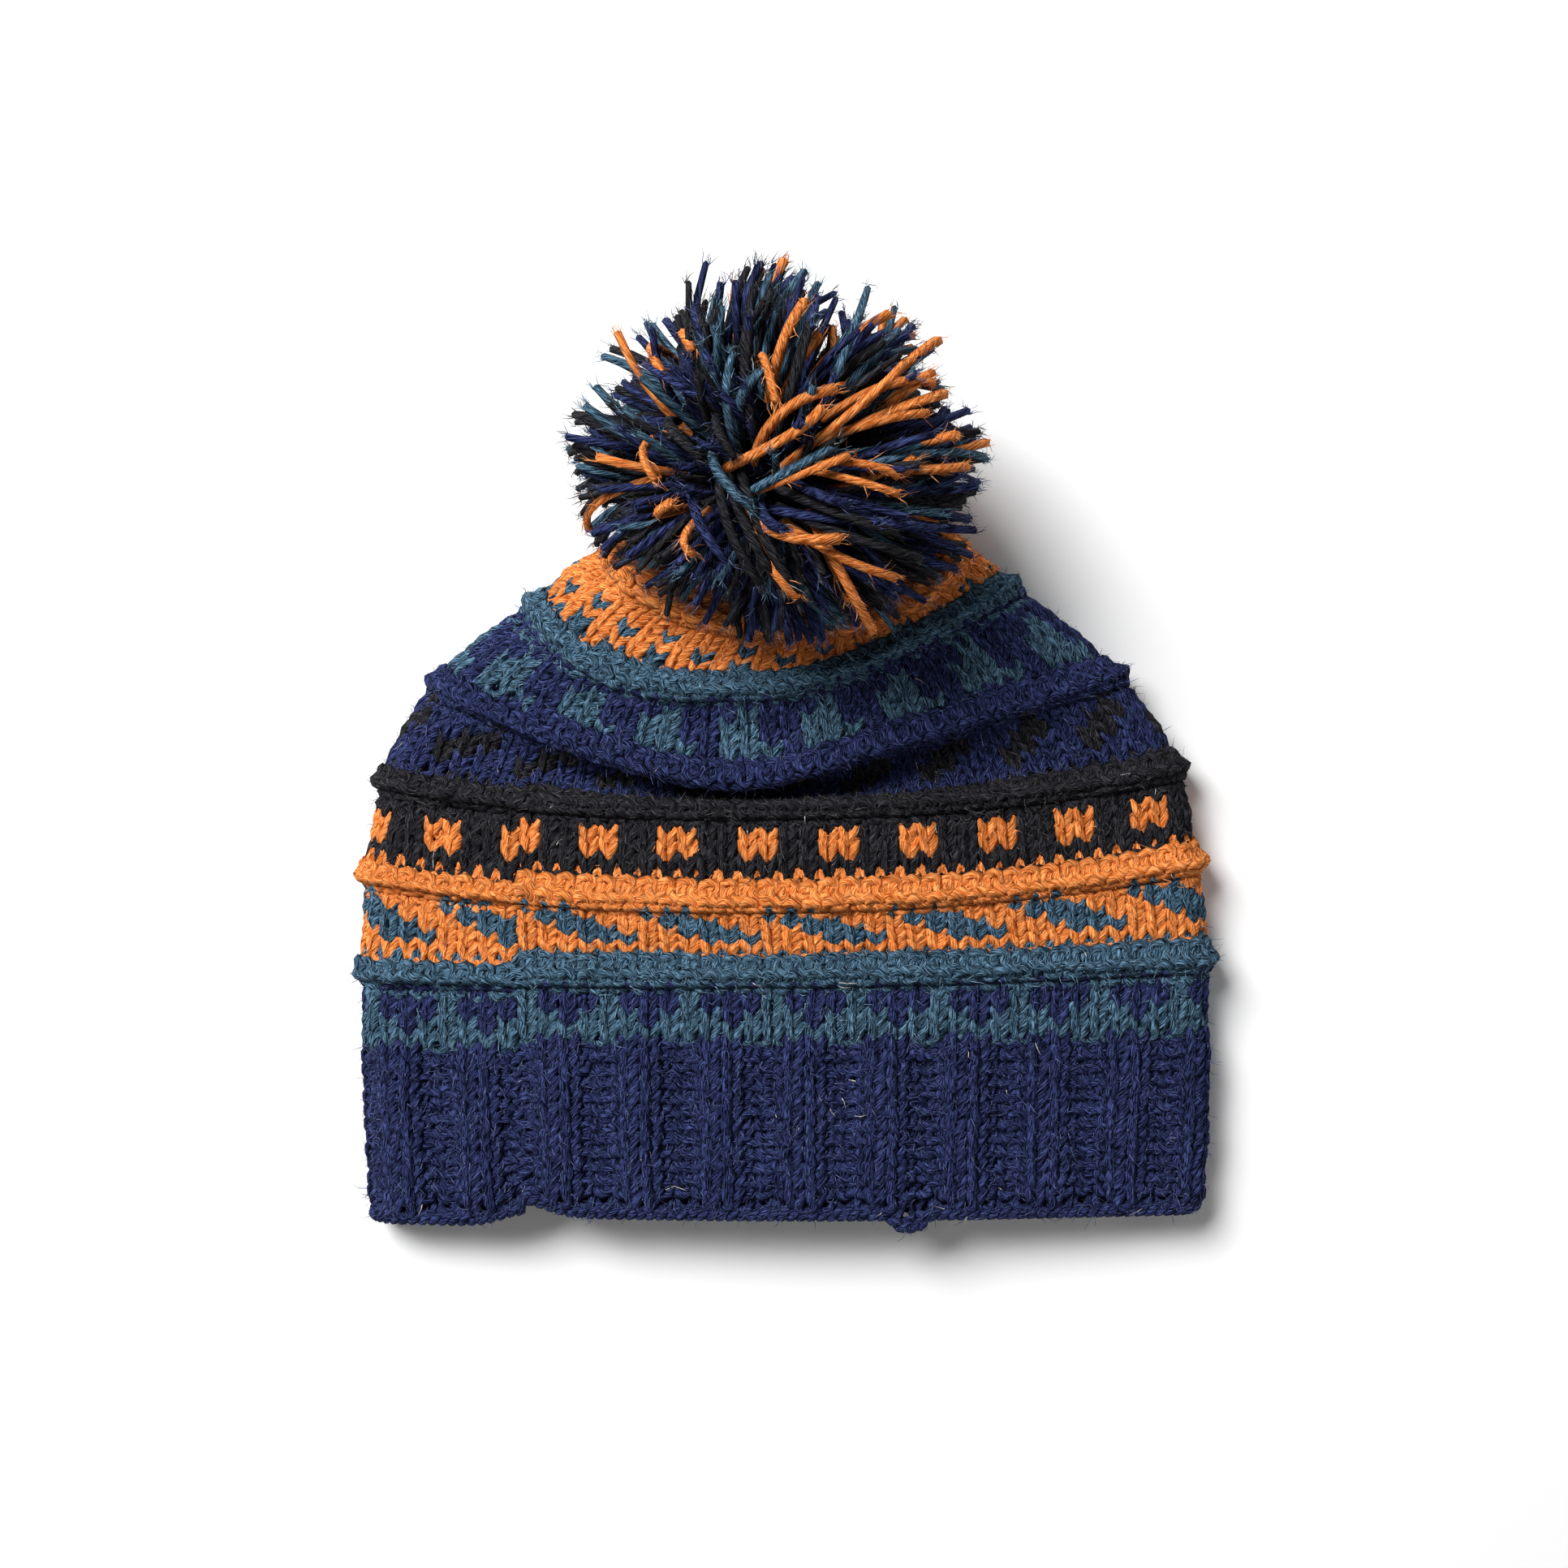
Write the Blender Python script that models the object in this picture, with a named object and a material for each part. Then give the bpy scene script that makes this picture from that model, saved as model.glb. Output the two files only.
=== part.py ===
"""A hand-knitted wool bobble hat, lying on its back with the brim towards -Y.

The knitted wall is one smooth surface through a table of rings, from the
cast-on edge to the hole that the crown is gathered into. The ribbing, the
raised purl welts and the wall's thickness are added along its normals. The
pompom is a core with one tapered lock of yarn on each of its facets.
"""
import math

import bmesh
import bpy
import numpy as np
from mathutils import Vector
from mathutils.bvhtree import BVHTree

MM = 0.001
GAP = 0.3 * MM

# Knitting: stitches round the hat, and the rows counted from the cast-on edge.
STITCHES = 88
RIB_TOP_ROW = 12.0
BODY_TOP_ROW = 33.5
HOLE_ROW = 60.6
WELT_ROWS = (17.5, 25.5, 32.5, 40.5, 48.5, 56.0)

# Thickness of the knitted wall, and how far its relief stands from the mean.
WALL = 5.0 * MM
RIB_DEPTH = 0.8 * MM
WELT_HEIGHT = 2.3 * MM
WELT_HALF_ROWS = 0.85
INNER_SMOOTHING_ROWS = 1.5
NORMAL_STEP = 0.15

# The cast-on edge steps up where the round begins and ends.
NOTCH_X = -72.0 * MM
NOTCH_WIDTH = 6.0 * MM
NOTCH_DEPTH = 4.5 * MM
NOTCH_ROWS = 2.0
FRONT_Z = 12.0 * MM

# Shape of the knitted wall, one line a ring, in millimetres. y runs from the
# cast-on edge to the top and z up from the floor. "fold" is the rounded side
# fold, "rise" how much further up its right side lies, "low_x" where the front
# hangs lowest, and the powers say how sharply the front curve leaves that point.
RING_COLUMNS = (
    "row", "half_width", "centre_x", "edge_y", "rise", "front_y", "back_y",
    "fold_z", "fold_radius", "front_z", "back_z", "roundness", "left_power", "right_power", "low_x",
)
RINGS = (
    (0.0, 116.0, 0.3, 2.8, 1.0, 2.3, 1.5, 8.5, 8.5, 25.0, 0.0, 1.50, 2.0, 2.0, 0.0),
    (12.0, 117.6, 0.3, 48.5, 1.7, 48.0, 47.6, 9.0, 9.0, 28.5, 0.0, 1.50, 2.0, 2.0, 0.0),
    (17.5, 117.4, 0.4, 70.0, 3.5, 67.8, 69.2, 9.5, 9.5, 29.5, 0.0, 1.50, 2.0, 2.0, 0.0),
    (25.5, 115.4, -0.6, 96.8, 3.4, 87.5, 96.0, 9.5, 9.5, 31.0, 0.0, 1.50, 2.0, 2.0, 0.0),
    (32.5, 110.0, -1.0, 122.7, 3.1, 112.0, 122.8, 10.0, 10.0, 31.5, 0.0, 1.50, 2.0, 2.0, -3.0),
    (36.5, 103.8, -1.4, 135.7, 2.2, 115.5, 137.4, 11.0, 11.0, 23.0, 0.0, 1.50, 1.7, 1.3, -6.0),
    (40.5, 92.8, -1.7, 149.0, 1.3, 120.0, 152.1, 12.5, 12.5, 37.0, 0.0, 1.40, 1.5, 0.9, -7.0),
    (44.5, 80.5, -2.2, 160.7, 2.8, 132.2, 170.3, 14.5, 14.0, 40.5, 0.0, 1.20, 2.2, 1.2, -6.0),
    (48.5, 63.8, -2.9, 171.2, 4.0, 144.4, 185.4, 18.0, 15.0, 41.5, 1.0, 1.00, 3.2, 1.4, -5.0),
    (52.5, 56.0, -0.5, 178.6, 0.5, 152.2, 193.2, 23.5, 13.0, 42.5, 8.0, 0.80, 2.4, 1.8, -2.0),
    (56.0, 44.0, 0.5, 180.6, 0.0, 159.8, 192.0, 30.0, 8.0, 42.5, 18.0, 0.60, 2.0, 2.0, 0.0),
    (59.0, 18.0, 0.0, 176.5, 0.0, 167.5, 184.0, 36.0, 3.0, 42.0, 29.5, 0.50, 2.0, 2.0, 0.0),
    (60.6, 4.4, 0.0, 175.3, 0.0, 172.7, 177.9, 36.2, 0.5, 39.7, 32.7, 0.50, 2.0, 2.0, 0.0),
)

LOW_POINT_SOFTNESS = 0.1

# Facets: columns round each piece, and the rows that its outer skin passes
# between the welts and its inner skin passes.
BRIM_COLUMNS = STITCHES
BRIM_BAND_ROWS = (0.8, 3.6, 6.4, 9.2)
BRIM_INNER_ROWS = (6.0,)
BODY_COLUMNS = 60
BODY_BAND_ROWS = (14.6, 21.5, 29.0)
BODY_INNER_ROWS = (17.0, 22.0, 27.0, 30.5)
CROWN_COLUMNS = BODY_COLUMNS
CROWN_BAND_ROWS = (34.8, 36.4, 38.0, 43.2, 45.6, 51.6, 53.6, 58.2, 59.6)
CROWN_INNER_ROWS = (35.2, 37.0, 39.0, 42.0, 46.0, 50.0, 53.0, 56.0, 58.4)
WELT_SHOULDER_ROWS = 1.1

# Pompom: a round core with one lock of yarn on each facet.
POMPOM_RADIUS = 52.0 * MM
POMPOM_RADIUS_SPREAD = 3.0 * MM
LENGTH_TURN = 2.4
CORE_RADIUS = 24.5 * MM
LOCKS = 104
# Width of a lock beside its facet's, half-way along it and at its tip.
LOCK_WIDTHS = ((0.93, 0.5), (0.62, 1.0))
LOCK_CLEARANCE = 2.8 * MM
SHORTEST_LOCK = 1.0 * MM
RESTING_SLOPE = -0.8
COMB_SHIFT = 2.5 * MM
COMB_DIRECTION = Vector((0.6, 0.8, 0.0))
COMB_START = 0.6

# Tie yarn: a post through the gathered hole, with a flat knot inside.
HOLE_CENTRE = Vector((0.0, 175.3, 36.2)) * MM
HOLE_AXIS = Vector((0.0, 0.8, 0.6))
POMPOM_DISTANCE = 28.5 * MM
TIE_RADIUS = 3.9 * MM
TIE_TOP_RADIUS = 2.4 * MM
TIE_SIDES = 12
KNOT_RADIUS = 7.0 * MM
KNOT_TOP_RADIUS = 5.6 * MM
KNOT_BOTTOM_RADIUS = 4.2 * MM
KNOT_THICKNESS = 4.0 * MM
KNOT_CLEARANCE = 1.8 * MM

NAVY = (0.026, 0.028, 0.098, 1.0)
TEAL = (0.052, 0.145, 0.235, 1.0)
ORANGE = (0.806, 0.195, 0.030, 1.0)
CHARCOAL = (0.016, 0.016, 0.020, 1.0)


def clear_scene():
    for existing in list(bpy.data.objects):
        bpy.data.objects.remove(existing, do_unlink=True)


def wool(name, colour):
    """Matt woollen yarn of one colour."""
    material = bpy.data.materials.new(name)
    material.use_nodes = True
    shader = material.node_tree.nodes["Principled BSDF"]
    shader.inputs["Base Color"].default_value = colour
    shader.inputs["Roughness"].default_value = 0.95
    shader.inputs["Metallic"].default_value = 0.0
    return material


def ring_values(rows):
    """Each column of the ring table at the given rows, on a smooth cubic."""
    table = np.array(RINGS)
    knots = table[:, 0]
    slopes = np.gradient(table, knots, axis=0)
    rows = np.clip(np.asarray(rows, dtype=float), knots[0], knots[-1])
    below = np.clip(np.searchsorted(knots, rows, side="right") - 1, 0, len(knots) - 2)
    span = (knots[below + 1] - knots[below])[:, None]
    t = (rows[:, None] - knots[below][:, None]) / span
    values = (
        (2 * t**3 - 3 * t**2 + 1) * table[below]
        + (t**3 - 2 * t**2 + t) * span * slopes[below]
        + (3 * t**2 - 2 * t**3) * table[below + 1]
        + (t**3 - t**2) * span * slopes[below + 1]
    )
    return {name: values[:, i][:, None] for i, name in enumerate(RING_COLUMNS)}


def ring_outline(rows, columns, fold_steps=10, flat_steps=60):
    """Points round each row at even distances, from the left fold over the front.

    Returns an array of rows by columns by three, in metres.
    """
    ring = ring_values(rows)
    angle = np.linspace(0.0, math.pi / 2, fold_steps, endpoint=False)
    flat = np.linspace(-1.0, 1.0, flat_steps, endpoint=False)
    zeros = np.zeros_like(flat)
    # Quarter folds and flats in turn: how far across, how much of the fold, and its height.
    across = np.concatenate([-np.ones(fold_steps), flat, np.ones(fold_steps)])
    reach = np.concatenate([-np.cos(angle), zeros, np.sin(angle)])
    height = np.concatenate([np.sin(angle), zeros + 1.0, np.cos(angle)])
    across = np.concatenate([across, -across])[None, :]
    reach = np.concatenate([reach, -reach])[None, :]
    height = np.concatenate([height, height])[None, :]
    front = np.arange(across.shape[1])[None, :] < across.shape[1] // 2

    half = ring["half_width"]
    fold = ring["fold_radius"]
    x = across * (half - fold) + reach * fold
    t = np.clip(x / half, -1.0, 1.0)
    dome = (1.0 - t**2) ** ring["roundness"]
    front_z = ring["fold_z"] + fold * height + (ring["front_z"] - ring["fold_z"] - fold) * dome
    back_z = ring["fold_z"] - fold * height - (ring["fold_z"] - fold - ring["back_z"]) * dome
    z = np.where(front, front_z, back_z)

    low = ring["low_x"]
    side_reach = np.where(x < low, half + low, half - low)
    bend = np.clip(np.abs(x - low) / side_reach, 0.0, 1.0)
    bend = (np.hypot(bend, LOW_POINT_SOFTNESS) - LOW_POINT_SOFTNESS) / (
        math.hypot(1.0, LOW_POINT_SOFTNESS) - LOW_POINT_SOFTNESS
    )
    power = np.where(x < low, ring["left_power"], ring["right_power"])
    depth = np.minimum(ring["roundness"], 1.0)
    front_curve = np.clip(1.0 - bend**power, 0.0, 1.0) ** depth
    back_curve = (1.0 - t**2) ** depth
    front_y = ring["edge_y"] + (ring["front_y"] - ring["edge_y"]) * front_curve
    back_y = ring["edge_y"] + (ring["back_y"] - ring["edge_y"]) * back_curve
    y = np.where(front, front_y, back_y) + ring["rise"] * t / 2

    outline = np.stack([x + ring["centre_x"], y, z], axis=2) * MM
    outline = np.concatenate([outline, outline[:, :1]], axis=1)
    steps = np.linalg.norm(np.diff(outline, axis=1), axis=2)
    points = np.empty((len(outline), columns, 3))
    for i, loop in enumerate(outline):
        run = np.concatenate([[0.0], np.cumsum(steps[i])])
        wanted = np.arange(columns) / columns * run[-1]
        for axis in range(3):
            points[i, :, axis] = np.interp(wanted, run, loop[:, axis])
    return points


def smoothed_outline(rows, columns, smoothing):
    """Outlines averaged over so many rows each way, fewer near the wall's ends."""
    reach = np.minimum(smoothing, np.minimum(rows, HOLE_ROW - rows))
    layers = [ring_outline(rows + share * reach, columns) for share in (-1.0, -0.5, 0.0, 0.5, 1.0)]
    return np.mean(layers, axis=0)


def wall_surface(rows, columns, smoothing=0.0):
    """The wall's mean points, outward normals and upward directions at the given rows."""
    rows = np.asarray(rows, dtype=float)
    points = smoothed_outline(rows, columns, smoothing)
    ahead = smoothed_outline(np.minimum(rows + NORMAL_STEP, HOLE_ROW), columns, smoothing)
    behind = smoothed_outline(np.maximum(rows - NORMAL_STEP, 0.0), columns, smoothing)
    along = ahead - behind
    around = np.roll(points, -1, axis=1) - np.roll(points, 1, axis=1)
    normals = np.cross(around, along)
    normals /= np.linalg.norm(normals, axis=2, keepdims=True)
    along /= np.linalg.norm(along, axis=2, keepdims=True)
    return points, normals, along


def welt_relief(rows):
    """Height of the raised purl welts at each row."""
    rows = np.asarray(rows, dtype=float)
    relief = np.zeros_like(rows)
    for welt in WELT_ROWS:
        relief += WELT_HEIGHT * np.exp(-(((rows - welt) / WELT_HALF_ROWS) ** 2))
    return relief[:, None]


def rib_relief(rows, columns):
    """Two sunken purl columns, then two raised knit columns, fading at the top."""
    stitch = np.floor(np.arange(columns) * STITCHES / columns).astype(int)
    raised = np.where(stitch % 4 < 2, -1.0, 1.0)
    fade = np.clip((RIB_TOP_ROW - np.asarray(rows, dtype=float)) / 1.5, 0.0, 1.0)
    return RIB_DEPTH * fade[:, None] * raised[None, :]


def notch_edge(points, rows):
    """Lift the cast-on edge in +Y where the round begins."""
    near_edge = np.clip(1.0 - np.asarray(rows, dtype=float) / NOTCH_ROWS, 0.0, 1.0)
    near_notch = np.exp(-(((points[:, :, 0] - NOTCH_X) / NOTCH_WIDTH) ** 2))
    on_front = points[:, :, 2] > FRONT_Z
    points[:, :, 1] += NOTCH_DEPTH * near_edge[:, None] * near_notch * on_front


def welt_rows_between(first_row, last_row):
    """Rows at each welt's ridge and both its shoulders, inside a piece."""
    rows = []
    for welt in WELT_ROWS:
        rows += [welt - WELT_SHOULDER_ROWS, welt, welt + WELT_SHOULDER_ROWS]
    return [row for row in rows if first_row < row < last_row]


def knitted_tube(name, material, first_row, last_row, columns, band_rows, inner_rows, ribbed=False):
    """One closed piece of the wall between two rows, with a gap to its neighbours."""
    welts = welt_rows_between(first_row, last_row)
    outer_rows = np.array(sorted([first_row, *band_rows, *welts, last_row]))
    inner_rows = np.array([first_row, *inner_rows, last_row])
    outer, outer_normals, along = wall_surface(outer_rows, columns)
    inner, inner_normals, _ = wall_surface(inner_rows, columns, INNER_SMOOTHING_ROWS)
    relief = welt_relief(outer_rows)
    if ribbed:
        relief = relief + rib_relief(outer_rows, columns)
    for end in (0, -1):
        inner[end] = outer[end]
        inner_normals[end] = outer_normals[end]
    inner = inner - inner_normals * WALL
    outer = outer + outer_normals * relief[:, :, None]
    outer[:, :, 2] = np.maximum(outer[:, :, 2], 0.0)
    inner[:, :, 2] = np.maximum(inner[:, :, 2], WALL)
    if first_row > 0.0:
        outer[0] += along[0] * GAP / 2
        inner[0] += along[0] * GAP / 2
    else:
        notch_edge(outer, outer_rows)
        notch_edge(inner, inner_rows)
    if last_row < HOLE_ROW:
        outer[-1] -= along[-1] * GAP / 2
        inner[-1] -= along[-1] * GAP / 2
    else:
        inner[-1] = outer[-1] - np.array(HOLE_AXIS) * WALL

    # The skins are joined into one loop of rings: up the outside and down the inside.
    rings = np.concatenate([outer, inner[::-1]])
    mesh = bmesh.new()
    verts = [[mesh.verts.new(point) for point in ring] for ring in rings]
    for i, ring in enumerate(verts):
        following = verts[(i + 1) % len(verts)]
        for j in range(columns):
            k = (j + 1) % columns
            mesh.faces.new((ring[j], ring[k], following[k], following[j]))
    bmesh.ops.triangulate(mesh, faces=mesh.faces[:])
    return finish(name, mesh, material)


def finish(name, mesh, material):
    """Turn a bmesh into a named object of one closed body, facing out."""
    bmesh.ops.recalc_face_normals(mesh, faces=mesh.faces[:])
    data = bpy.data.meshes.new(name)
    mesh.to_mesh(data)
    mesh.free()
    data.materials.append(material)
    data.shade_smooth()
    piece = bpy.data.objects.new(name, data)
    bpy.context.scene.collection.objects.link(piece)
    return piece


def even_directions(count, first):
    """Directions spread evenly over a sphere, the first one as given."""
    golden = math.pi * (3.0 - math.sqrt(5.0))
    turn = Vector((0.0, 0.0, 1.0)).rotation_difference(first)
    directions = []
    for i in range(count):
        height = 1.0 - 2.0 * i / (count - 1)
        ring = math.sqrt(max(0.0, 1.0 - height**2))
        direction = Vector((ring * math.cos(golden * i), ring * math.sin(golden * i), height))
        directions.append(turn @ direction)
    return directions


def facets_round(directions):
    """For each direction, the corners of the facet that surrounds it, in order."""
    hull = bmesh.new()
    verts = [hull.verts.new(direction) for direction in directions]
    bmesh.ops.convex_hull(hull, input=verts)
    hull.verts.ensure_lookup_table()
    hull.faces.index_update()
    corners = [face.calc_center_median().normalized() for face in hull.faces]
    facets = []
    for direction, vert in zip(directions, verts):
        across = direction.orthogonal().normalized()
        up = direction.cross(across)
        around = sorted(
            (face.index for face in vert.link_faces),
            key=lambda index: math.atan2(corners[index].dot(up), corners[index].dot(across)),
        )
        facets.append(around)
    hull.free()
    return corners, facets


def reach_to_crown(centre, rays, wanted, obstacle):
    """How far a lock with these corners may reach before it meets the crown."""
    for ray in rays:
        hit = obstacle.ray_cast(centre, ray, wanted + LOCK_CLEARANCE)[3]
        if hit is not None:
            wanted = min(wanted, hit - LOCK_CLEARANCE)
    return wanted


def reach_to_floor(centre, ray, wanted):
    """The same for one corner and the floor, so that the lowest locks rest flat on it."""
    if ray.z < 0.0:
        wanted = min(wanted, centre.z / -ray.z)
    return wanted


def comb(point, centre):
    """Sweep the outer yarn up and to the right, as the pompom lies."""
    offset = point - centre
    far = max(0.0, offset.length / POMPOM_RADIUS - COMB_START) / (1.0 - COMB_START)
    above = max(0.0, offset.normalized().z)
    return point + COMB_DIRECTION * (COMB_SHIFT * far * above)


def make_pompom(material, crown):
    """A core with one lock of yarn on each facet, but for the one over the tie."""
    centre = HOLE_CENTRE + HOLE_AXIS * POMPOM_DISTANCE
    obstacle = BVHTree.FromPolygons(
        [vertex.co for vertex in crown.data.vertices],
        [polygon.vertices for polygon in crown.data.polygons],
    )
    directions = even_directions(LOCKS, -HOLE_AXIS)
    corners, facets = facets_round(directions)
    mesh = bmesh.new()
    base = [mesh.verts.new(centre + corner * CORE_RADIUS) for corner in corners]
    for i, (direction, facet) in enumerate(zip(directions, facets)):
        lower = [base[index] for index in facet]
        if i == 0:
            mesh.faces.new(lower)
            continue
        length = POMPOM_RADIUS + POMPOM_RADIUS_SPREAD * math.sin(i * LENGTH_TURN)
        if direction.z < RESTING_SLOPE:
            length = POMPOM_RADIUS + POMPOM_RADIUS_SPREAD
        for width, share in LOCK_WIDTHS:
            rays = [direction.lerp(corners[index], width).normalized() for index in facet]
            reach = reach_to_crown(centre, rays, length, obstacle)
            upper = []
            for ray in rays:
                growth = max(reach_to_floor(centre, ray, reach) - CORE_RADIUS, SHORTEST_LOCK)
                upper.append(mesh.verts.new(comb(centre + ray * (CORE_RADIUS + growth * share), centre)))
            for k in range(len(facet)):
                n = (k + 1) % len(facet)
                mesh.faces.new((lower[k], lower[n], upper[n], upper[k]))
            lower = upper
        mesh.faces.new(lower)
    bmesh.ops.triangulate(mesh, faces=mesh.faces[:])
    bare_facet_height = CORE_RADIUS * max(corners[index].dot(directions[0]) for index in facets[0])
    return finish("pompom", mesh, material), bare_facet_height


def make_tie(material, bare_facet_height):
    """A post along the hole's axis from the pompom's core to a flat knot inside."""
    start = HOLE_CENTRE - HOLE_AXIS * (WALL + KNOT_CLEARANCE + KNOT_THICKNESS)
    post_length = KNOT_CLEARANCE + WALL + POMPOM_DISTANCE - bare_facet_height - GAP
    heights_and_radii = (
        (0.0, KNOT_BOTTOM_RADIUS),
        (KNOT_THICKNESS / 2, KNOT_RADIUS),
        (KNOT_THICKNESS, KNOT_TOP_RADIUS),
        (KNOT_THICKNESS, TIE_RADIUS),
        (KNOT_THICKNESS + KNOT_CLEARANCE + WALL, TIE_RADIUS),
        (KNOT_THICKNESS + post_length, TIE_TOP_RADIUS),
    )
    across = Vector((1.0, 0.0, 0.0))
    up = HOLE_AXIS.cross(across)
    mesh = bmesh.new()
    rings = []
    for height, radius in heights_and_radii:
        centre = start + HOLE_AXIS * height
        ring = []
        for k in range(TIE_SIDES):
            angle = 2.0 * math.pi * k / TIE_SIDES
            ring.append(mesh.verts.new(centre + (across * math.cos(angle) + up * math.sin(angle)) * radius))
        rings.append(ring)
    for lower, upper in zip(rings, rings[1:]):
        for k in range(TIE_SIDES):
            n = (k + 1) % TIE_SIDES
            mesh.faces.new((lower[k], lower[n], upper[n], upper[k]))
    mesh.faces.new(rings[0])
    mesh.faces.new(rings[-1])
    return finish("pompom_tie", mesh, material)


def centre_on_origin(pieces):
    """Bring the middle of the whole hat's box over the origin, standing on z = 0."""
    corners = np.array([vertex.co for piece in pieces for vertex in piece.data.vertices])
    low = corners.min(axis=0)
    high = corners.max(axis=0)
    shift = Vector(((low[0] + high[0]) / 2, (low[1] + high[1]) / 2, low[2]))
    for piece in pieces:
        for vertex in piece.data.vertices:
            vertex.co -= shift


clear_scene()
brim = knitted_tube(
    "ribbed_brim", wool("navy_wool", NAVY), 0.0, RIB_TOP_ROW,
    BRIM_COLUMNS, BRIM_BAND_ROWS, BRIM_INNER_ROWS, ribbed=True,
)
body = knitted_tube(
    "patterned_body", wool("teal_wool", TEAL), RIB_TOP_ROW, BODY_TOP_ROW,
    BODY_COLUMNS, BODY_BAND_ROWS, BODY_INNER_ROWS,
)
crown = knitted_tube(
    "crown", wool("orange_wool", ORANGE), BODY_TOP_ROW, HOLE_ROW,
    CROWN_COLUMNS, CROWN_BAND_ROWS, CROWN_INNER_ROWS,
)
pompom, bare_facet_height = make_pompom(wool("charcoal_wool", CHARCOAL), crown)
tie = make_tie(wool("tie_wool", NAVY), bare_facet_height)
centre_on_origin([brim, body, crown, pompom, tie])
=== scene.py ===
"""A hand-knitted wool bobble hat lying on its back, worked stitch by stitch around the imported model."""
import math

import bpy
import numpy as np
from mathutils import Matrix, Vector
from mathutils.bvhtree import BVHTree


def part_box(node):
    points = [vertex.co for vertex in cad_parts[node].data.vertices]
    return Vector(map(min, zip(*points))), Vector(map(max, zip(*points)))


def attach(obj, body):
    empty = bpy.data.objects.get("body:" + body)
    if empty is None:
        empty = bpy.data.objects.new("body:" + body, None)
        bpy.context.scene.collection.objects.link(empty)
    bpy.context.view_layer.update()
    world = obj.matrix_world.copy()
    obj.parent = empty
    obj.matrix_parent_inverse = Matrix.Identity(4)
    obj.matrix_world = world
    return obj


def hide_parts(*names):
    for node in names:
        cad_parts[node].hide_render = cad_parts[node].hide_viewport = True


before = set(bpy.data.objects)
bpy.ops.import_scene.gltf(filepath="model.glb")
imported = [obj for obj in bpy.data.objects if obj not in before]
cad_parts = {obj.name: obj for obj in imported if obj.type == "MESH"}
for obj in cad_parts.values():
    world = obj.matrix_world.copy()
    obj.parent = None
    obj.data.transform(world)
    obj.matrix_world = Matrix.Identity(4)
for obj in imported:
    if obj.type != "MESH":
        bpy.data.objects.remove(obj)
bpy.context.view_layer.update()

# Ribbed brim: two knit and two purl stitches in turn, in thick navy wool. It is
# worked in the round from the cast-on edge, one strand of plied yarn to a row,
# each loop drawn through the one below.

MM = 0.001
SEED = 88
chance = np.random.default_rng(SEED)
STITCHES = 88
ROUND_START = 9.0 / STITCHES
ROUND_STEP_ROWS = 0.75
RIB_ROWS = 12
HOLE_ROW = 60.6
WELT_ROWS = (17.5, 25.5, 32.5, 40.5, 48.5, 56.0)
WELT_HEIGHT = 3.4 * MM
WELT_HALF_ROWS = 0.95
WELT_DROOP_ROWS = 0.55
RIB_DEPTH = 1.5 * MM
RIB_STITCHES = 4.0
RIB_FADE_ROWS = 2.0

# One line a ring of the wall, in millimetres: y from the cast-on edge to the
# top and z up from the floor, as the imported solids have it, with the fabric
# between the top welts 2 to 3 mm lower.
RING_COLUMNS = (
    "row", "half_width", "centre_x", "edge_y", "rise", "front_y", "back_y",
    "fold_z", "fold_radius", "front_z", "back_z", "roundness", "left_power", "right_power", "low_x",
)
RINGS = (
    (0.0, 116.0, 0.3, 2.8, 1.0, 2.3, 1.5, 8.5, 8.5, 25.0, 0.0, 1.50, 2.0, 2.0, 0.0),
    (12.0, 117.6, 0.3, 48.5, 1.7, 48.0, 47.6, 9.0, 9.0, 28.5, 0.0, 1.50, 2.0, 2.0, 0.0),
    (17.5, 117.4, 0.4, 70.0, 3.5, 67.8, 69.2, 9.5, 9.5, 29.5, 0.0, 1.50, 2.0, 2.0, 0.0),
    (25.5, 115.4, -0.6, 96.8, 3.4, 87.5, 96.0, 9.5, 9.5, 31.0, 0.0, 1.50, 2.0, 2.0, 0.0),
    (32.5, 110.0, -1.0, 122.7, 3.1, 112.0, 122.8, 10.0, 10.0, 31.5, 0.0, 1.50, 2.0, 2.0, -3.0),
    (36.5, 103.8, -1.4, 135.7, 2.2, 115.5, 137.4, 11.0, 11.0, 23.0, 0.0, 1.50, 1.7, 1.3, -6.0),
    (40.5, 92.8, -1.7, 149.0, 1.3, 120.0, 152.1, 12.5, 12.5, 37.0, 0.0, 1.40, 1.5, 0.9, -7.0),
    (44.5, 80.5, -2.2, 160.7, 2.8, 132.2, 170.3, 14.5, 14.0, 37.5, 0.0, 1.20, 2.2, 1.2, -6.0),
    (48.5, 63.8, -2.9, 171.2, 4.0, 144.4, 185.4, 18.0, 15.0, 41.5, 1.0, 1.00, 3.2, 1.4, -5.0),
    (52.5, 56.0, -0.5, 178.6, 0.5, 152.2, 193.2, 23.5, 13.0, 40.5, 8.0, 0.80, 2.4, 1.8, -2.0),
    (56.0, 44.0, 0.5, 180.6, 0.0, 159.8, 192.0, 30.0, 8.0, 42.5, 18.0, 0.60, 2.0, 2.0, 0.0),
    (59.0, 18.0, 0.0, 176.5, 0.0, 167.5, 184.0, 36.0, 3.0, 42.0, 29.5, 0.50, 2.0, 2.0, 0.0),
    (60.6, 4.4, 0.0, 175.3, 0.0, 172.7, 177.9, 36.2, 0.5, 39.7, 32.7, 0.50, 2.0, 2.0, 0.0),
)
LOW_POINT_SOFTNESS = 0.1
FOLD_STEPS = 16
FLAT_STEPS = 120
GRID_ROWS = 304
GRID_COLUMNS = 528


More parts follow.
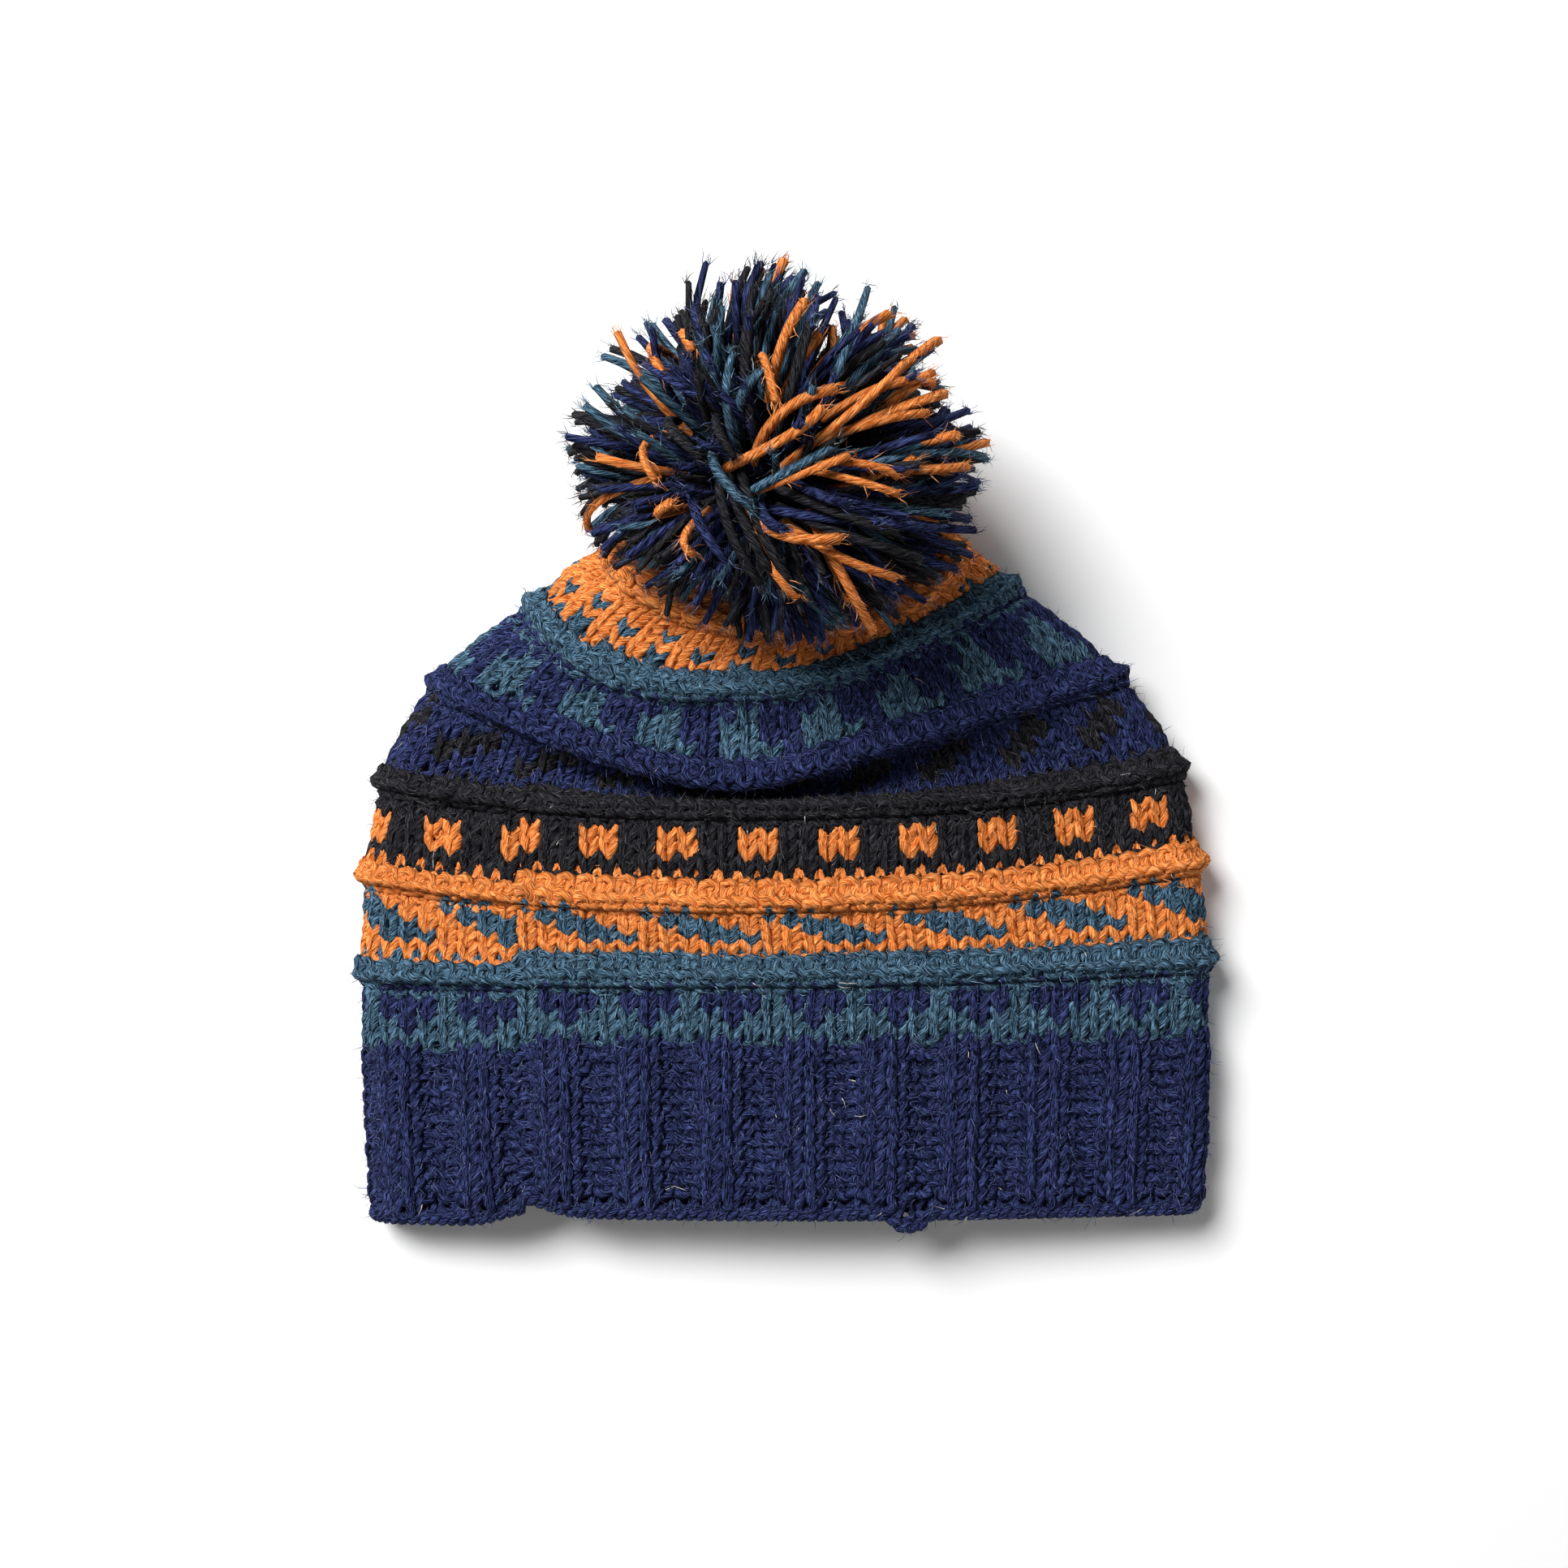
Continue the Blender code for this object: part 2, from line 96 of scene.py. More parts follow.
def ring_values(rows):
    """Each column of the ring table at the given rows, on a smooth cubic."""
    table = np.array(RINGS)
    knots = table[:, 0]
    slopes = np.gradient(table, knots, axis=0)
    below = np.clip(np.searchsorted(knots, rows, side="right") - 1, 0, len(knots) - 2)
    span = (knots[below + 1] - knots[below])[:, None]
    t = (rows[:, None] - knots[below][:, None]) / span
    values = (
        (2 * t**3 - 3 * t**2 + 1) * table[below]
        + (t**3 - 2 * t**2 + t) * span * slopes[below]
        + (3 * t**2 - 2 * t**3) * table[below + 1]
        + (t**3 - t**2) * span * slopes[below + 1]
    )
    return {name: values[:, i][:, None] for i, name in enumerate(RING_COLUMNS)}


def ring_outline(rows, columns):
    """Points round each row at even distances, from the left fold over the front."""
    ring = ring_values(rows)
    angle = np.linspace(0.0, math.pi / 2, FOLD_STEPS, endpoint=False)
    flat = np.linspace(-1.0, 1.0, FLAT_STEPS, endpoint=False)
    zeros = np.zeros_like(flat)
    # Quarter folds and flats in turn: how far across, how much of the fold, and its height.
    across = np.concatenate([-np.ones(FOLD_STEPS), flat, np.ones(FOLD_STEPS)])
    reach = np.concatenate([-np.cos(angle), zeros, np.sin(angle)])
    height = np.concatenate([np.sin(angle), zeros + 1.0, np.cos(angle)])
    across = np.concatenate([across, -across])[None, :]
    reach = np.concatenate([reach, -reach])[None, :]
    height = np.concatenate([height, height])[None, :]
    front = np.arange(across.shape[1])[None, :] < across.shape[1] // 2

    half = ring["half_width"]
    fold = ring["fold_radius"]
    x = across * (half - fold) + reach * fold
    t = np.clip(x / half, -1.0, 1.0)
    dome = (1.0 - t**2) ** ring["roundness"]
    front_z = ring["fold_z"] + fold * height + (ring["front_z"] - ring["fold_z"] - fold) * dome
    back_z = ring["fold_z"] - fold * height - (ring["fold_z"] - fold - ring["back_z"]) * dome
    z = np.where(front, front_z, back_z)

    low = ring["low_x"]
    side_reach = np.where(x < low, half + low, half - low)
    bend = np.clip(np.abs(x - low) / side_reach, 0.0, 1.0)
    bend = (np.hypot(bend, LOW_POINT_SOFTNESS) - LOW_POINT_SOFTNESS) / (
        math.hypot(1.0, LOW_POINT_SOFTNESS) - LOW_POINT_SOFTNESS
    )
    power = np.where(x < low, ring["left_power"], ring["right_power"])
    depth = np.minimum(ring["roundness"], 1.0)
    front_curve = np.clip(1.0 - bend**power, 0.0, 1.0) ** depth
    back_curve = (1.0 - t**2) ** depth
    front_y = ring["edge_y"] + (ring["front_y"] - ring["edge_y"]) * front_curve
    back_y = ring["edge_y"] + (ring["back_y"] - ring["edge_y"]) * back_curve
    y = np.where(front, front_y, back_y) + ring["rise"] * t / 2

    outline = np.stack([x + ring["centre_x"], y, z], axis=2) * MM
    outline = np.concatenate([outline, outline[:, :1]], axis=1)
    steps = np.linalg.norm(np.diff(outline, axis=1), axis=2)
    points = np.empty((len(outline), columns, 3))
    for i, loop in enumerate(outline):
        run = np.concatenate([[0.0], np.cumsum(steps[i])])
        wanted = np.arange(columns) / columns * run[-1]
        for axis in range(3):
            points[i, :, axis] = np.interp(wanted, run, loop[:, axis])
    return points


def unit(vectors):
    """Vectors of length one."""
    return vectors / np.linalg.norm(vectors, axis=-1, keepdims=True)


# The wall as a grid of points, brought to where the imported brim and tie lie.
wall_points = ring_outline(np.linspace(0.0, HOLE_ROW, GRID_ROWS), GRID_COLUMNS)
tie_low, tie_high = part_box("pompom_tie")
brim_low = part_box("ribbed_brim")[0]
HAT_ORIGIN = np.array([
    (tie_low[0] + tie_high[0]) / 2,
    brim_low[1] - wall_points[0, :, 1].min(),
    0.0,
])
wall_points = wall_points + HAT_ORIGIN
wall_along = np.gradient(wall_points, HOLE_ROW / (GRID_ROWS - 1), axis=0)
wall_around = np.roll(wall_points, -1, axis=1) - np.roll(wall_points, 1, axis=1)
wall_normals = unit(np.cross(wall_around, wall_along))


def on_wall(turn, row):
    """Points, outward normals and one row's step up, at shares of the turn and rows."""
    column = (turn % 1.0) * GRID_COLUMNS
    left = np.floor(column).astype(int)
    across = (column - left)[:, None]
    left %= GRID_COLUMNS
    right = (left + 1) % GRID_COLUMNS
    held = np.clip(row, 0.0, HOLE_ROW)
    line = held / HOLE_ROW * (GRID_ROWS - 1)
    lower = np.minimum(np.floor(line).astype(int), GRID_ROWS - 2)
    up = (line - lower)[:, None]
    found = []
    for grid in (wall_points, wall_normals, wall_along):
        low_edge = grid[lower, left] * (1 - across) + grid[lower, right] * across
        high_edge = grid[lower + 1, left] * (1 - across) + grid[lower + 1, right] * across
        found.append(low_edge * (1 - up) + high_edge * up)
    points, normals, along = found
    points = points + along * (row - held)[:, None]
    return points, unit(normals), along


def welt_share(row):
    """How much of a raised purl welt there is at each row, from 0 to 1."""
    share = np.zeros_like(row)
    for welt in WELT_ROWS:
        share += np.exp(-(((row - welt) / WELT_HALF_ROWS) ** 2))
    return share


def rib_relief(row, along_row):
    """The rib's two raised knit columns and two sunken purl columns, fading at its top."""
    fade = min(1.0, max(0.0, (RIB_ROWS - row) / RIB_FADE_ROWS))
    return RIB_DEPTH * fade * np.cos(math.tau * (along_row / RIB_STITCHES - 0.5))


# A loop of yarn: half its height in rows, how far its legs lean in stitches,
# how deep it passes from back to front, its yarn's radius and length, and how
# far one loop differs from the next.
LOOP_STEPS = 12
LOOP_HALF_ROWS = 0.98
LEG_LEAN = 0.26
LOOP_DEPTH = 0.85 * MM
YARN_RADIUS = 1.48 * MM
YARN_SIDES = 5
YARN_ABOVE_WALL = 0.4 * MM
LOOP_YARN_MM = 17.0
EVENNESS_ROWS = 0.07
EVENNESS_STITCHES = 0.05
EVENNESS_DEPTH = 0.22 * MM
EVENNESS_THICKNESS = 0.05
CORE_DEPTH = LOOP_DEPTH + YARN_RADIUS - YARN_ABOVE_WALL
FLOOR_GAP = 0.15 * MM
# The cast-on edge is drawn up in a notch where the round starts, on the front
# and on the back under it, and hangs down at the knot of its yarn.
NOTCH_ROWS = 0.9
NOTCH_HALF_STITCHES = 1.6
NOTCH_FADE_ROWS = 4.0
BACK_NOTCH_STITCH = 70.0
BACK_NOTCH_HALF_STITCHES = 2.8
KNOT_ROWS = 0.9
KNOT_STITCH = 19.2
KNOT_HALF_STITCHES = 0.85

# Navy, teal, orange and charcoal, as the charts call them.
YARN_LETTERS = "NTOC"


def even_loops(count, size, steps):
    """A small unevenness of the loops that runs smoothly from one to the next."""
    at_loop = chance.normal(0.0, size, count)
    where = np.arange(count * steps) / steps
    return np.interp(where, np.arange(count + 1), np.append(at_loop, at_loop[0]))


def rings_round(centres, side, front, radii, angle):
    """Rings of points round each centre, at the angles from its side to its front."""
    radii = radii[..., None, None]
    angle = angle[:, None]
    return (
        centres[..., None, :]
        + side[..., None, :] * (np.cos(angle) * radii)
        + front[..., None, :] * (np.sin(angle) * radii)
    )


def closed_rings(centres, normals, thickness):
    """Rings round a closed strand, the first side across the fabric, and the way it runs."""
    run = unit(np.roll(centres, -1, axis=0) - np.roll(centres, 1, axis=0))
    side = unit(np.cross(run, normals))
    angle = math.pi / 2.0 + math.tau * np.arange(YARN_SIDES) / YARN_SIDES
    rings = rings_round(centres, side, np.cross(side, run), thickness, angle)
    rings[:, :, 2] = np.maximum(rings[:, :, 2], FLOOR_GAP)
    return rings, run


def edge_rise(row, along_row, count):
    """How far both layers' cast-on edge is drawn up at the round's start, and let down at its knot."""
    fade = max(0.0, 1.0 - row / NOTCH_FADE_ROWS)
    from_start = np.minimum(along_row, count - along_row)
    notch = NOTCH_ROWS * np.exp(-((from_start / NOTCH_HALF_STITCHES) ** 2))
    behind = NOTCH_ROWS * np.exp(-(((along_row - BACK_NOTCH_STITCH) / BACK_NOTCH_HALF_STITCHES) ** 2))
    knot = KNOT_ROWS * np.exp(-(((along_row - KNOT_STITCH) / KNOT_HALF_STITCHES) ** 4))
    return fade * (notch + behind) - max(0.0, 1.0 - row) * knot


def facings(letters, count):
    """1 for each knit stitch and -1 for each purl stitch of a row, step by step and softened."""
    purl = np.array([letters[i % len(letters)].islower() for i in range(count)])
    facing = np.repeat(np.where(purl, -1.0, 1.0), LOOP_STEPS)
    return (np.roll(facing, 1) + 2.0 * facing + np.roll(facing, -1)) / 4.0


def loops_of_row(row, count, letters, next_letters, colours):
    """Rings of one row's yarn, from the start of the round; the next row draws each loop's head."""
    steps = np.arange(count * LOOP_STEPS)
    stitch = steps // LOOP_STEPS
    turn = math.tau * (steps % LOOP_STEPS) / LOOP_STEPS
    along_row = steps / LOOP_STEPS
    head = ((1.0 - np.cos(turn)) / 2.0) ** 3
    facing = facings(letters, count) * (1.0 - head) + facings(next_letters, count) * head

    across = stitch + turn / math.tau + LEG_LEAN * np.sin(2.0 * turn)
    across = across + even_loops(count, EVENNESS_STITCHES, LOOP_STEPS)
    height = row + 0.5 - LOOP_HALF_ROWS * np.cos(turn)
    height = height + ROUND_STEP_ROWS * (0.5 - along_row / count)
    height = height + even_loops(count, EVENNESS_ROWS, LOOP_STEPS) + edge_rise(row, along_row, count)
    depth = -LOOP_DEPTH * np.cos(2.0 * turn) * facing
    depth = depth + even_loops(count, EVENNESS_DEPTH, LOOP_STEPS)

    welt = welt_share(height)
    points, normals, along = on_wall(ROUND_START + across / count, height - WELT_DROOP_ROWS * welt)
    depth = depth + WELT_HEIGHT * welt + rib_relief(row, along_row) - CORE_DEPTH
    centres = points + normals * depth[:, None]
    thickness = YARN_RADIUS * (1.0 + even_loops(count, EVENNESS_THICKNESS, LOOP_STEPS))
    rings, run = closed_rings(centres, normals, thickness)
    fuzz_seats.append((centres, run, normals, along, thickness, np.repeat(colours, LOOP_STEPS)))
    return rings


def core_of_row(row, count):
    """A strip behind one row's loops, half a stitch to a step; it takes its yarn's dark painted shade."""
    along_row = np.arange(2 * count) / 2.0
    edges = []
    for edge in (0.0, 1.0):
        height = row + edge + ROUND_STEP_ROWS * (0.5 - along_row / count)
        welt = welt_share(height)
        points, normals, _ = on_wall(ROUND_START + along_row / count, height - WELT_DROOP_ROWS * welt)
        depth = WELT_HEIGHT * welt + rib_relief(row, along_row) - CORE_DEPTH
        edges.append(points + normals * depth[:, None])
    strip = np.stack(edges, axis=1)
    strip[:, :, 2] = np.maximum(strip[:, :, 2], FLOOR_GAP)
    return strip


# How much of each side of a loop's own patch of the baked picture stays free.
PATCH_MARGIN = 0.06


def face_corners(u_low, u_high, v_low, v_high):
    """The UV places of each face's four corners, in the order in which they go round it."""
    corners = ((u_low, v_low), (u_low, v_high), (u_high, v_high), (u_high, v_low))
    return np.stack([np.stack(corner, axis=3) for corner in corners], axis=3).reshape(-1, 2)


class Knitting:
    """Gathers tubes of yarn into one mesh, with their colours and two UV maps."""

    def __init__(self):
        self.points = []
        self.faces = []
        self.yarn = []
        self.patch = []
        self.corner = []
        self.colour = []
        self.total = 0
        self.patches = 0

    def add(self, rings, closed, steps_in_patch, colour_of_segment, yarn_mm, tone):
        """Rings are tubes by steps by sides by three; two sides make a flat hair."""
        tubes, count, sides, _ = rings.shape
        tube = np.arange(tubes)[:, None, None]
        segment = np.arange(count if closed else count - 1)[None, :, None]
        side = np.arange(sides if sides > 2 else 1)[None, None, :]
        following = (side + 1) % sides
        above = (segment + 1) % count
        first = self.total + tube * count * sides
        self.faces.append(np.stack([
            first + segment * sides + side,
            first + segment * sides + following,
            first + above * sides + following,
            first + above * sides + side,
        ], axis=3).reshape(-1, 4))
        shape = (tubes, segment.size, side.size)
        ones = np.ones(shape)
        step = yarn_mm / count
        u = segment * ones
        v = side * ones
        tones = np.broadcast_to(np.asarray(tone, dtype=float).reshape(-1, 1, 1), shape)
        self.yarn.append(face_corners(
            u * step, (u + 1) * step, v / sides + tones, (v + 1) / sides + tones,
        ))
        inside = (segment % steps_in_patch) * ones / steps_in_patch
        ahead = (segment % steps_in_patch + 1) * ones / steps_in_patch
        self.corner.append(face_corners(inside, ahead, v / sides, (v + 1) / sides))
        patches_each = -(-segment.size // steps_in_patch)
        patch = self.patches + tube * patches_each + segment // steps_in_patch + 0 * side
        self.patch.append(np.repeat(patch.ravel(), 4))
        colours = np.broadcast_to(np.asarray(colour_of_segment)[..., None], shape)
        self.colour.append(colours.ravel())
        self.points.append(rings.reshape(-1, 3))
        self.total += tubes * count * sides
        self.patches += tubes * patches_each

    def finish(self, name, materials):
        """The mesh object, smooth shaded, riding on the hat."""
        faces = np.concatenate(self.faces)
        mesh = bpy.data.meshes.new(name)
        points = np.concatenate(self.points)
        mesh.vertices.add(len(points))
        mesh.vertices.foreach_set("co", points.ravel())
        mesh.loops.add(faces.size)
        mesh.loops.foreach_set("vertex_index", faces.ravel())
        mesh.polygons.add(len(faces))
        mesh.polygons.foreach_set("loop_start", np.arange(0, faces.size, 4))
        mesh.update(calc_edges=True)
        for material in materials:
            mesh.materials.append(material)
        mesh.polygons.foreach_set("material_index", np.concatenate(self.colour).astype(np.int32))
        mesh.shade_smooth()
        grid = math.ceil(math.sqrt(self.patches))
        patch = np.concatenate(self.patch)
        corner = np.concatenate(self.corner)
        place = np.stack([patch % grid, patch // grid], axis=1)
        baked = (place + PATCH_MARGIN + (1.0 - 2.0 * PATCH_MARGIN) * corner) / grid
        mesh.uv_layers.new(name="OFBake").uv.foreach_set("vector", baked.astype(np.float32).ravel())
        yarn = np.concatenate(self.yarn)
        mesh.uv_layers.new(name="yarn").uv.foreach_set("vector", yarn.astype(np.float32).ravel())
        piece = bpy.data.objects.new(name, mesh)
        bpy.context.scene.collection.objects.link(piece)
        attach(piece, "root")
        return piece


def knit(name, first_row, chart, count, materials):
    """A band of rows from a chart, one string a row from the bottom, repeated round the hat."""
    band = Knitting()
    for i, letters in enumerate(chart):
        row = first_row + i
        repeated = [letters[j % len(letters)].upper() for j in range(count)]
        colours = np.array([YARN_LETTERS.index(letter) for letter in repeated])
        next_letters = chart[i + 1] if i + 1 < len(chart) else "K"
        rings = loops_of_row(row, count, letters, next_letters, colours)
        yarn_mm = LOOP_YARN_MM * count
        band.add(rings[None], True, LOOP_STEPS, np.repeat(colours, LOOP_STEPS)[None], yarn_mm, row)
        # The strip behind the row takes its yarn's painted-shade material.
        core_colours = np.repeat(colours, 2)[None] + len(YARN_LETTERS)
        band.add(core_of_row(row, count)[None], True, 2, core_colours, yarn_mm, row)
    return band.finish(name, materials)


def linear(hex_colour):
    """An sRGB hex colour as the linear RGBA that a shader takes."""
    parts = [int(hex_colour[i:i + 2], 16) / 255.0 for i in (1, 3, 5)]
    return [c / 12.92 if c <= 0.04045 else ((c + 0.055) / 1.055) ** 2.4 for c in parts] + [1.0]


def add_node(material, kind, settings=None, **links):
    """Add a shader node, with its settings, and values or other nodes' outputs for its inputs."""
    node = material.node_tree.nodes.new(kind)
    for key, value in (settings or {}).items():
        setattr(node, key, value)
    for key, value in links.items():
        # An input goes by its name, or by an i and its number.
        numbered = key[0] == "i" and key[1:].isdigit()
        socket = node.inputs[int(key[1:]) if numbered else key.replace("_", " ")]
        if isinstance(value, bpy.types.NodeSocket):
            material.node_tree.links.new(value, socket)
        else:
            socket.default_value = value
    return node


def new_material(name, roughness, specular):
    """A material with nodes, and its shader, as rough and as shiny as asked."""
    material = bpy.data.materials.new(name)
    material.use_nodes = True
    shader = material.node_tree.nodes["Principled BSDF"]
    shader.inputs["Roughness"].default_value = roughness
    shader.inputs["Specular IOR Level"].default_value = specular
    return material, shader


# Plied wool: three plies that turn once round each other in about 9 mm. A fibre
# is 0.03 mm thick, too fine to show, so the streaks are drawn 0.35 mm apart.
PLIES = 3
PLY_TURN_MM = 9.0
STREAKS_ROUND = 26.0
STREAK_MM = 2.2
STREAK_DETAIL, STREAK_GRAIN = 2.0, 0.6
TONE_MM = 60.0
TONES_ROUND = 3.0
TONE_DETAIL = 1.0
# From what to what height of a ply its groove's painted shade ends, and from what to what value of the
# noise its light and dark streaks run, with how dark the dark ones are.
GROOVE_FROM, GROOVE_TO = 0.05, 0.55
LIGHT_FROM, LIGHT_TO = 0.44, 0.7
DARK_FROM, DARK_TO, DARKEST = 0.32, 0.5, 0.45
# The tone of a stretch of yarn, over the middle of the noise.
NOISE_LOW, NOISE_HIGH = 0.3, 0.7
TONE_LEAST, TONE_MOST = 0.78, 1.18
# Painted shade: a strand is darkest on its sides and back, where it touches the next ones and little
# light reaches, and a loose strand on its underside; each yarn says how dark.
PAINTED_SHADE_FROM, PAINTED_SHADE_TO = -0.1, 0.8
PLY_HEIGHT = 0.35 * MM
BUMP_STRENGTH = 0.55
STREAK_HEIGHT_SHARE = 0.35
WOOL_ROUGHNESS, WOOL_SPECULAR = 0.92, 0.05
SHEEN_WEIGHT, SHEEN_ROUGHNESS = 0.05, 0.45


def plied_wool(name, groove_shade, body, light, sheen, painted_shade_darkest):
    """Spun and plied sheep's wool: matt, with painted shade in the lines where the plies meet and where
    strands touch.
    """
    material, shader = new_material(name, WOOL_ROUGHNESS, WOOL_SPECULAR)
    uv = add_node(material, "ShaderNodeUVMap", {"uv_map": "yarn"})
    part = add_node(material, "ShaderNodeSeparateXYZ", i0=uv.outputs[0])
    along, around = part.outputs[0], part.outputs[1]
    twist = add_node(material, "ShaderNodeMath", {"operation": "MULTIPLY_ADD"},
                     i0=along, i1=1.0 / PLY_TURN_MM, i2=around).outputs[0]
    wave = add_node(material, "ShaderNodeMath", {"operation": "MULTIPLY"},
                    i0=twist, i1=math.pi * PLIES).outputs[0]
    wave = add_node(material, "ShaderNodeMath", {"operation": "SINE"}, i0=wave).outputs[0]
    ply = add_node(material, "ShaderNodeMath", {"operation": "ABSOLUTE"}, i0=wave).outputs[0]
    streak_u = add_node(material, "ShaderNodeMath", {"operation": "MULTIPLY"},
                        i0=along, i1=1.0 / STREAK_MM).outputs[0]
    streak_v = add_node(material, "ShaderNodeMath", {"operation": "MULTIPLY"},
                        i0=twist, i1=STREAKS_ROUND).outputs[0]
    place = add_node(material, "ShaderNodeCombineXYZ", i0=streak_u, i1=streak_v).outputs[0]
    streak = add_node(material, "ShaderNodeTexNoise", {"noise_dimensions": "2D"},
                      Vector=place, Scale=1.0, Detail=STREAK_DETAIL,
                      Roughness=STREAK_GRAIN).outputs["Fac"]
    tone_u = add_node(material, "ShaderNodeMath", {"operation": "MULTIPLY"},
                      i0=along, i1=1.0 / TONE_MM).outputs[0]
    tone_place = add_node(material, "ShaderNodeCombineXYZ", i0=tone_u, i1=around).outputs[0]
    tone = add_node(material, "ShaderNodeTexNoise", {"noise_dimensions": "2D"},
                    Vector=tone_place, Scale=TONES_ROUND, Detail=TONE_DETAIL).outputs["Fac"]
    body_share = add_node(material, "ShaderNodeMapRange",
                          i0=ply, i1=GROOVE_FROM, i2=GROOVE_TO).outputs[0]
    light_share = add_node(material, "ShaderNodeMapRange",
                           i0=streak, i1=LIGHT_FROM, i2=LIGHT_TO).outputs[0]
    tone_value = add_node(material, "ShaderNodeMapRange", i0=tone, i1=NOISE_LOW, i2=NOISE_HIGH,
                          i3=TONE_LEAST, i4=TONE_MOST).outputs[0]
    # Painted shade: the cosine of the way round the strand, 1 on its first side, darkens its sides and
    # back.
    facing = add_node(material, "ShaderNodeMath", {"operation": "MULTIPLY"},
                      i0=around, i1=math.tau).outputs[0]
    facing = add_node(material, "ShaderNodeMath", {"operation": "COSINE"}, i0=facing).outputs[0]
    painted_crease_shade = add_node(material, "ShaderNodeMapRange", i0=facing, i1=PAINTED_SHADE_FROM, i2=PAINTED_SHADE_TO,
                      i3=painted_shade_darkest, i4=1.0).outputs[0]
    dark_streak = add_node(material, "ShaderNodeMapRange", i0=streak, i1=DARK_FROM, i2=DARK_TO,
                           i3=DARKEST, i4=1.0).outputs[0]
    shade = add_node(material, "ShaderNodeMath", {"operation": "MULTIPLY"},
                     i0=painted_crease_shade, i1=tone_value).outputs[0]
    shade = add_node(material, "ShaderNodeMath", {"operation": "MULTIPLY"},
                     i0=shade, i1=dark_streak).outputs[0]
    # Painted shade in the grooves where the plies meet, mixed in by the ply's height.
    base = add_node(material, "ShaderNodeMix", {"data_type": "RGBA"}, i0=body_share,
                    i6=linear(groove_shade), i7=linear(body)).outputs[2]
    base = add_node(material, "ShaderNodeMix", {"data_type": "RGBA"}, i0=light_share, i6=base,
                    i7=linear(light)).outputs[2]
    base = add_node(material, "ShaderNodeHueSaturation", Value=shade, Color=base).outputs[0]
    height = add_node(material, "ShaderNodeMath", {"operation": "MULTIPLY_ADD"},
                      i0=streak, i1=STREAK_HEIGHT_SHARE, i2=ply).outputs[0]
    bump = add_node(material, "ShaderNodeBump",
                    Strength=BUMP_STRENGTH, Distance=PLY_HEIGHT, Height=height).outputs[0]
    material.node_tree.links.new(base, shader.inputs["Base Color"])
    material.node_tree.links.new(bump, shader.inputs["Normal"])
    shader.inputs["Sheen Weight"].default_value = SHEEN_WEIGHT
    shader.inputs["Sheen Roughness"].default_value = SHEEN_ROUGHNESS
    shader.inputs["Sheen Tint"].default_value = linear(sheen)
    return material


# The four yarns give the eye a hairy, light-drinking surface: the navy turns
# violet and the teal powder blue where light catches the hairs.
# The first colour is the painted shade in the ply grooves; the last number is how dark each yarn's
# painted shade on its sides and back gets.
navy_wool = plied_wool("navy_plied_wool", "#020308", "#0A0D22", "#48538A", "#7C84B4", 0.1)
teal_wool = plied_wool("teal_plied_wool", "#050A10", "#142B3C", "#6C90AA", "#94B6D0", 0.1)
orange_wool = plied_wool("orange_plied_wool", "#A04C16", "#D86A26", "#FFB26C", "#FFC890", 0.33)
charcoal_wool = plied_wool("charcoal_plied_wool", "#030304", "#121215", "#424248", "#66666C", 0.15)

SHADE_CORE_ROUGHNESS, SHADE_CORE_SPECULAR = 1.0, 0.02
SHADE_CORE_SCALE, SHADE_CORE_DETAIL = 2.0, 2.0


def painted_shade_wool(name, dark, light):
    """The inside of the fabric behind the loops, coloured in painted shade: dark, as little light gets
    in.
    """
    material, shader = new_material(name, SHADE_CORE_ROUGHNESS, SHADE_CORE_SPECULAR)
    uv = add_node(material, "ShaderNodeUVMap", {"uv_map": "yarn"})
    tone = add_node(material, "ShaderNodeTexNoise", {"noise_dimensions": "2D"},
                    Vector=uv.outputs[0], Scale=SHADE_CORE_SCALE, Detail=SHADE_CORE_DETAIL).outputs["Fac"]
    base = add_node(material, "ShaderNodeMix", {"data_type": "RGBA"}, i0=tone,
                    i6=linear(dark), i7=linear(light)).outputs[2]
    material.node_tree.links.new(base, shader.inputs["Base Color"])
    return material


# The insides of the fabric, coloured in painted shade, give the eye the dark gaps between the loops, in
# the order of the yarns.
YARNS = (
    navy_wool, teal_wool, orange_wool, charcoal_wool,
    painted_shade_wool("navy_painted_shade_wool", "#030308", "#080A18"),
    painted_shade_wool("teal_painted_shade_wool", "#060E14", "#10222E"),
    painted_shade_wool("orange_painted_shade_wool", "#4A210A", "#8A4214"),
    painted_shade_wool("charcoal_painted_shade_wool", "#020203", "#09090B"),
)

FIBRE_ROUGHNESS, FIBRE_SPECULAR = 0.7, 0.1
FIBRE_TONE_SCALE, FIBRE_TONE_DETAIL = 0.7, 1.0


def loose_fibre(name, dark, light):
    """Single fibres of wool: thin and clear, so they look paler than the yarn that they leave."""
    material, shader = new_material(name, FIBRE_ROUGHNESS, FIBRE_SPECULAR)
    uv = add_node(material, "ShaderNodeUVMap", {"uv_map": "yarn"})
    tone = add_node(material, "ShaderNodeTexNoise", {"noise_dimensions": "2D"},
                    Vector=uv.outputs[0], Scale=FIBRE_TONE_SCALE,
                    Detail=FIBRE_TONE_DETAIL).outputs["Fac"]
    share = add_node(material, "ShaderNodeMapRange", i0=tone, i1=NOISE_LOW, i2=NOISE_HIGH).outputs[0]
    base = add_node(material, "ShaderNodeMix", {"data_type": "RGBA"}, i0=share,
                    i6=linear(dark), i7=linear(light)).outputs[2]
    material.node_tree.links.new(base, shader.inputs["Base Color"])
    return material


